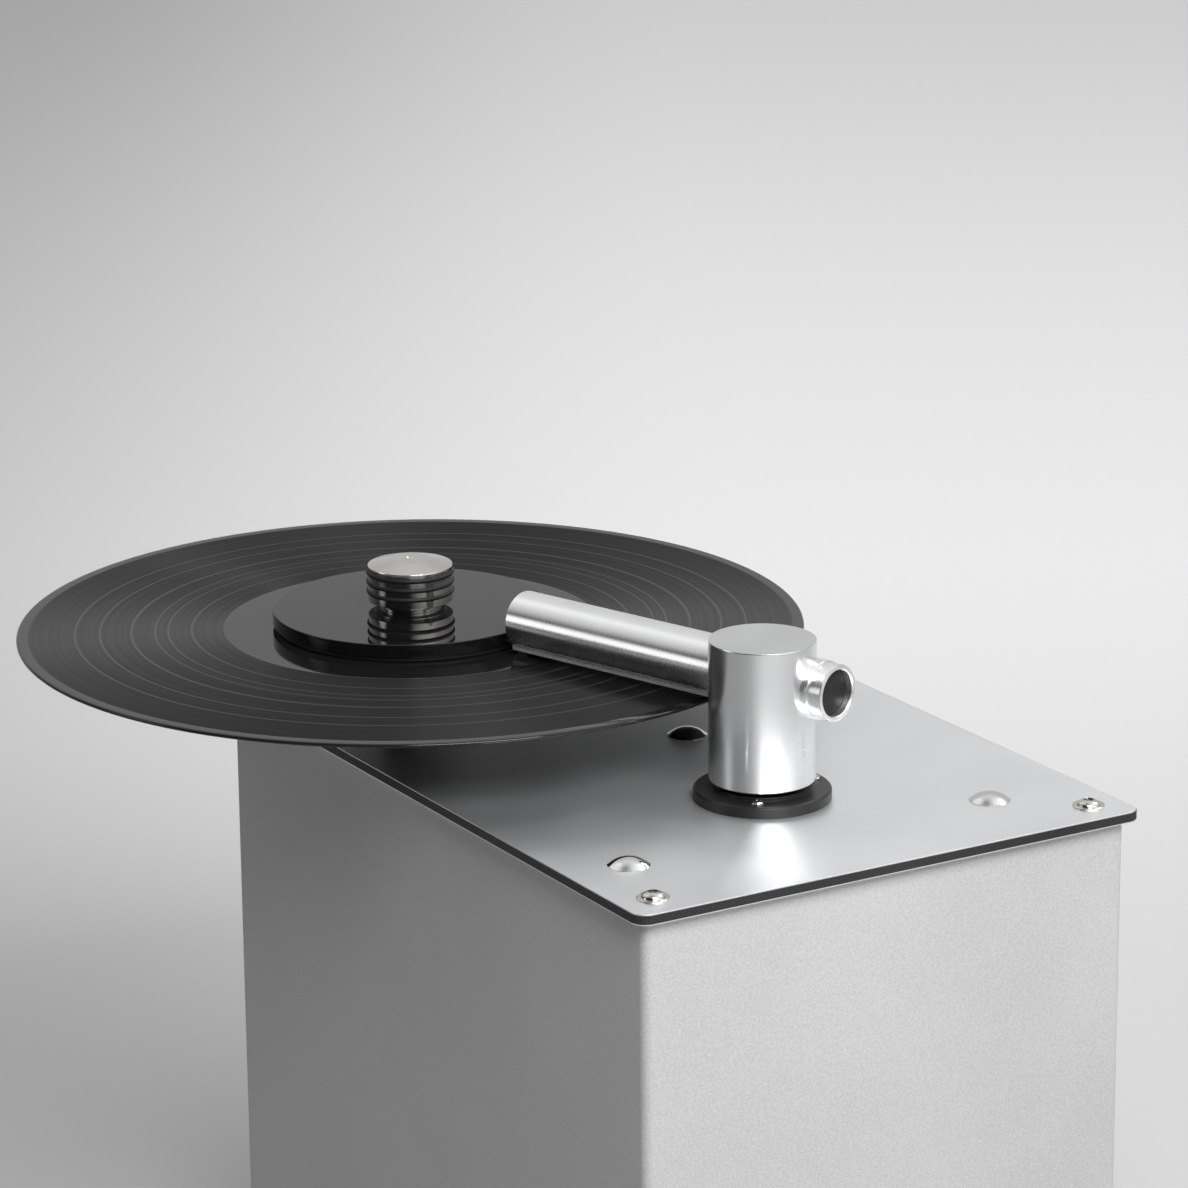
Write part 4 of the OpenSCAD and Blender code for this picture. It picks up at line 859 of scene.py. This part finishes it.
# %% Stock and cutters
def block(low, high):
    """A plain block from corner to corner in millimetres, as stock or as a cutter."""
    deselect()
    bpy.ops.mesh.primitive_cube_add(size=MM, location=[(a + b) / 2 * MM for a, b in zip(low, high)])
    bpy.context.object.scale = [b - a for a, b in zip(low, high)]
    bpy.ops.object.transform_apply(location=True, scale=True)
    return bpy.context.object


def rod(radius, low, high, steps=96):
    """A plain upright rod between two heights in millimetres, as stock or as a cutter."""
    deselect()
    bpy.ops.mesh.primitive_cylinder_add(vertices=steps, radius=radius * MM, depth=(high - low) * MM,
                                        location=(0, 0, (low + high) / 2 * MM))
    bpy.ops.object.transform_apply(location=True)
    return bpy.context.object


def cut(piece, *cutters):
    """Cuts each cutter out of a piece and removes the cutter."""
    for cutter in cutters:
        add_modifier(piece, "BOOLEAN", operation="DIFFERENCE", solver="EXACT", object=cutter)
        bpy.data.objects.remove(cutter, do_unlink=True)


# %% [markdown]
# The pillar is one profile with its inner steps: a bore for the guide tube, a wider well for the
# spring, and the shoulder between them. The bore for the two tubes runs crosswise through these rings,
# so no edit of the profile could make it, and a rod is cut out of the pillar with a Boolean instead.

# %% Pillar
pillar_low, pillar_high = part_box("arm_pillar")
z_pillar, pillar_top, pillar_r = pillar_low.z / MM, pillar_high.z / MM, 19.5
z_tube, tube_r, guide_r, well_r = tube_height / MM, 10.9, 13.95, 16.7
z_shoulder, z_guide_end = z_pillar + 13, z_tube + 2
arm_xy = (arm_axis.x, arm_axis.y)
pillar_shape = [(guide_r, z_guide_end), (guide_r, z_shoulder), (well_r, z_shoulder),
                (well_r, z_pillar + 0.3), (well_r + 0.3, z_pillar), (pillar_r - 0.5, z_pillar),
                (pillar_r - 0.12, z_pillar + 0.14), (pillar_r, z_pillar + 0.5), (pillar_r, pillar_top - 0.5),
                (pillar_r - 0.15, pillar_top - 0.15), (pillar_r - 0.5, pillar_top)]
pillar = turned(pillar_shape, arm_xy, 160)
cut(pillar, lay(rod(tube_r, -pillar_r - 5, pillar_r + 5), lay_tube))
settle(pillar)
hand_over(pillar, "arm_pillar_turned", "arm_pillar", smooth=30)

# %% [markdown]
# The suction tube is thick walled. Two cutters take the flat and the slot out of a turned tube, as a
# mill does on the real one: the pads lie on the flat, and the pump draws through the slot. The cap is
# turned to fill the bore at the tip.

# %% Suction tube
tube_root, reach, wall, flat = 5.16, 120.5, 3.4, 2.9
pad_start, slot_w, pad_w, pad_t = pillar_r + 1.2, 1.6, 6.2, 2.4
tube_bore = tube_r - wall
tube_shape = [(tube_bore, tube_root), (tube_r, tube_root), (tube_r, reach - 0.6),
              (tube_r - 0.15, reach - 0.15), (tube_r - 0.6, reach), (tube_bore, reach)]
tube = turned(tube_shape, (0, 0), 128, closed=True)
flat_cutter = block((tube_r - flat, -tube_r, pad_start - 0.5), (tube_r + 1, tube_r, reach + 5))
slot_cutter = block((0, -slot_w / 2, pad_start + 8.8), (tube_r + 1, slot_w / 2, reach - 4))
cut(tube, flat_cutter, slot_cutter)
lay(tube, lay_tube)
tube.data.materials.clear()
tube.data.materials.append(tube_aluminium)
hand_over(tube, "suction_tube_turned", "suction_tube", smooth=30)

# %% Tube cap
cap_back, cap_front = reach - 5.4, reach - 0.4
cap_shape = [(0.5, cap_back), (tube_bore, cap_back), (tube_bore, cap_front - 0.3),
             (tube_bore - 0.3, cap_front), (0.5, cap_front)]
cap = turned(cap_shape, (0, 0), 96)
lay(cap, lay_tube)
cap.data.materials.clear()
cap.data.materials.append(tube_aluminium)
hand_over(cap, "tube_end_cap", "tube_cap", smooth=30)

# %% [markdown]
# The tail is a short tube, a little thinner from a fine groove outwards, with a flat black plug set
# back in its bore. All its steps are in the profile, so it needs no cutting.

# %% Tail tube
tail_reach, tail_r, tail_bore, tail_groove, plug_in = 28.3, 10.5, 8.6, 22.3, 3
tail_shape = [(tail_bore, tube_root), (tube_r, tube_root), (tube_r, tail_groove - 0.1),
              (tube_r - 0.1, tail_groove), (tail_r - 0.4, tail_groove + 0.1),
              (tail_r - 0.4, tail_groove + 0.5), (tail_r, tail_groove + 0.6), (tail_r, tail_reach - 0.6),
              (tail_r - 0.15, tail_reach - 0.15), (tail_r - 0.6, tail_reach),
              (tail_bore + 0.4, tail_reach), (tail_bore, tail_reach - 0.4)]
tail = turned(tail_shape, (0, 0), 128, closed=True)
lay(tail, lay_tail)
tail.data.materials.clear()
tail.data.materials.append(tube_aluminium)
hand_over(tail, "tail_tube_turned", "tail_tube", smooth=30)

# %% Tail plug
plug_face = tail_reach - plug_in
plug_shape = [(tail_bore, tube_root), (tail_bore, plug_face - 0.4),
              (tail_bore - 0.4, plug_face), (0.5, plug_face)]
plug = turned(plug_shape, (0, 0), 96)
lay(plug, lay_tail)
hand_over(plug, "tail_plug_pressed", "tail_plug", smooth=30)

# %% [markdown]
# Two strips of grey felt lie beside the slot and touch the record. Each starts as a block of its real
# size, and a bevel of three steps gives it the soft edge of cut felt. It is too thin and too firmly
# glued for a cloth simulation to add anything.

# %% Pad strips
pad_low, pad_high = tube_r - flat, tube_r - flat + pad_t
for count, side in enumerate((-1, 1)):
    middle = side * (slot_w + pad_w) / 2
    pad = block((pad_low, middle - pad_w / 2, pad_start), (pad_high, middle + pad_w / 2, reach - 0.2))
    lay(pad, lay_tube)
    settle(pad)
    soften(pad, 0.4, 3)
    hand_over(pad, f"pad_strip_{count + 1}", "pad_strips", smooth=60)

# %% [markdown]
# The collar is a flat black ring with holes for its screws. The CAD solid has these holes already, so
# its mesh is cleaned and its edges are rounded, which is truer than cutting a new ring.

# %% Collar
collar = softened_copy("arm_collar", 0.25, 3)
settle(collar)
hand_over(collar, "arm_collar_turned", "arm_collar", smooth=30)

# %% [markdown]
# Under the pillar one wire winds round the guide tube and holds the arm up. A small circle and a Screw
# modifier give the coil, and one face closes each end. When the suction pulls the arm down the real
# coil squashes, since its foot stays; here it only rides on its node's body, with a mesh of its own.

# %% Lift spring
spring_low, spring_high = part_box("lift_spring")
wire, turns = 0.7, 5
spring_r = (spring_high.x - spring_low.x) / 2 - wire * MM
deselect()
bpy.ops.mesh.primitive_circle_add(vertices=14, radius=wire * MM, rotation=(pi / 2, 0, 0),
                                  location=(spring_r, 0, 0))
coil = bpy.context.object
bpy.ops.object.transform_apply(location=True, rotation=True)
rise = spring_high.z - spring_low.z - 2 * wire * MM
add_modifier(coil, "SCREW", angle=2 * pi, screw_offset=rise / turns, iterations=turns, steps=56,
             render_steps=56)
coil.matrix_world = Matrix.Translation((arm_axis.x, arm_axis.y, spring_low.z + wire * MM))
edit(coil, "EDGE")
bpy.ops.mesh.select_non_manifold()
bpy.ops.mesh.edge_face_add()
settle(coil)
hand_over(coil, "lift_spring_coil", "lift_spring", smooth=50)
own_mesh(coil)

# %% [markdown]
# ## Fasteners
# A button head screw is a low dome on a shank, with a hexagon socket that ends in a cone, as the
# drill leaves it. It is turned and cut once for each size, and then copied, each with its own mesh.

# %% Button head screw
def button_screw(flange, head, height, shank, length, socket):
    """An upright button head screw on z = 0, in millimetres, with its flange, hex socket and shank."""
    rim = 0.7 if flange > head else 0.25
    dome = [(head * cos(radians(a)), rim + (height - rim) * sin(radians(a)))
            for a in (0, 15, 30, 45, 58, 66)]
    profile = [(shank, -length), (shank, 0), (flange, 0), (flange, rim - 0.15), (flange - 0.2, rim)] + dome
    screw = turned(profile + [(dome[-1][0] - 0.35, height)], (0, 0), 64)
    hexagon = rod(socket, height * 0.28, height + 2, 6)
    cone = turned([(0.05, height * 0.28 - socket * 0.3), (socket * 0.8, height * 0.3)], (0, 0), 6)
    cut(screw, hexagon, cone)
    return screw


# %% Copies
def place_copies(source, spots, name, node):
    """Puts a copy of the source at each spot and hands it over, then removes the source."""
    for count, spot in enumerate(spots):
        deselect()
        copy = source.copy()
        copy.data = source.data.copy()
        scene.collection.objects.link(copy)
        copy.matrix_world = Matrix.Translation(spot)
        settle(copy)
        hand_over(copy, f"{name}_{count + 1}", node, smooth=30)
    bpy.data.objects.remove(source, do_unlink=True)


# %% Corner screws
z_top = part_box("top_skin")[1].z
core_low, core_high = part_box("top_core")
inset = 14 * MM
corners = [(x, y, z_top) for x in (core_low.x + inset, core_high.x - inset)
           for y in (core_low.y + inset, core_high.y - inset)]
screw = button_screw(flange=5.8, head=4.3, height=2.7, shank=2.5, length=12.5, socket=2.0)
place_copies(screw, corners, "corner_screw", "corner_screws")

# %% Collar screws
collar_top = z_top + 4.1 * MM
bolt_circle = 20.4 * MM
round_collar = []
for turn in (-127.5, -7.5, 112.5):
    out_x, out_y = bolt_circle * cos(radians(turn)), bolt_circle * sin(radians(turn))
    round_collar.append((arm_axis.x + out_x, arm_axis.y + out_y, collar_top))
screw = button_screw(flange=2.5, head=2.4, height=1.2, shank=1.25, length=8.1, socket=1.05)
place_copies(screw, round_collar, "collar_screw", "collar_screws")

# %% [markdown]
# Three bolts with polished domes and no socket carry the tank from above. A sphere scaled flat would
# have crowded points and the wrong edge, so the dome is an arc, worked out from its width and height,
# and turned with its shank.

# %% Dome bolts
dome_r, dome_h, bolt_r, bolt_l = 7.6, 3.0, 3, 15.5
ball_r = (dome_r ** 2 + dome_h ** 2) / (2 * dome_h)
half_angle = atan2(dome_r, ball_r - dome_h)
arc_steps = 12
arc = []
for step in range(arc_steps - 1, 0, -1):
    lean = half_angle * step / arc_steps
    arc.append((ball_r * sin(lean), dome_h - ball_r + ball_r * cos(lean)))
shank = [(bolt_r, -bolt_l), (bolt_r, 0), (dome_r - 0.2, 0), (dome_r, 0.15)]
dome = turned(shank + arc + [(0.1, dome_h)], (0, 0), 96)
dome.data.materials.append(polished)
bolts_from_arm = ((-79, -37.5), (67.5, -46.5), (15.5, 76.5))
bolt_spots = [(arm_axis.x + x * MM, arm_axis.y + y * MM, z_top) for x, y in bolts_from_arm]
place_copies(dome, bolt_spots, "dome_bolt", "dome_bolts")

# %% [markdown]
# ## Top plate and case
# The plate is a composite: a black core between two thin aluminium skins. Under it are the folded
# case, the end panel and what sits on them. Their shapes are already right in the CAD solids, vents
# and cut-outs included, so modelling them anew would gain nothing. Each is cleaned to one mesh, and its
# sharp edges are rounded by the width given here in millimetres.

# %% Plate, case and hidden sides
# node, width of the rounded edge, and its steps
soft_pieces = (
    ("top_skin", 0.18, 3), ("top_core", 0.2, 2), ("under_skin", 0.15, 2), ("case_wrap", 0.35, 3),
    ("end_panel", 0.25, 2), ("base_tray", 0.25, 2), ("rubber_feet", 0.5, 3), ("foot_screws", 0.15, 2),
    ("panel_screws", 0.15, 2), ("switch_bodies", 0.35, 3), ("pump_rocker", 0.35, 3),
    ("platter_rocker", 0.35, 3), ("inlet_socket", 0.4, 3), ("drain_port", 0.3, 3), ("drain_elbow", 0.3, 3),
    ("drain_tube", 0.2, 2), ("drain_stopper", 0.3, 3), ("tube_clip", 0.5, 3), ("platter", 0.3, 3),
    ("platter_mat", 0.3, 3), ("bearing_boss", 0.4, 3), ("spindle", 0.3, 2))
for node, width, segments in soft_pieces:
    piece = softened_copy(node, width, segments)
    settle(piece)
    hand_over(piece, f"{node}_finished", node, smooth=34)
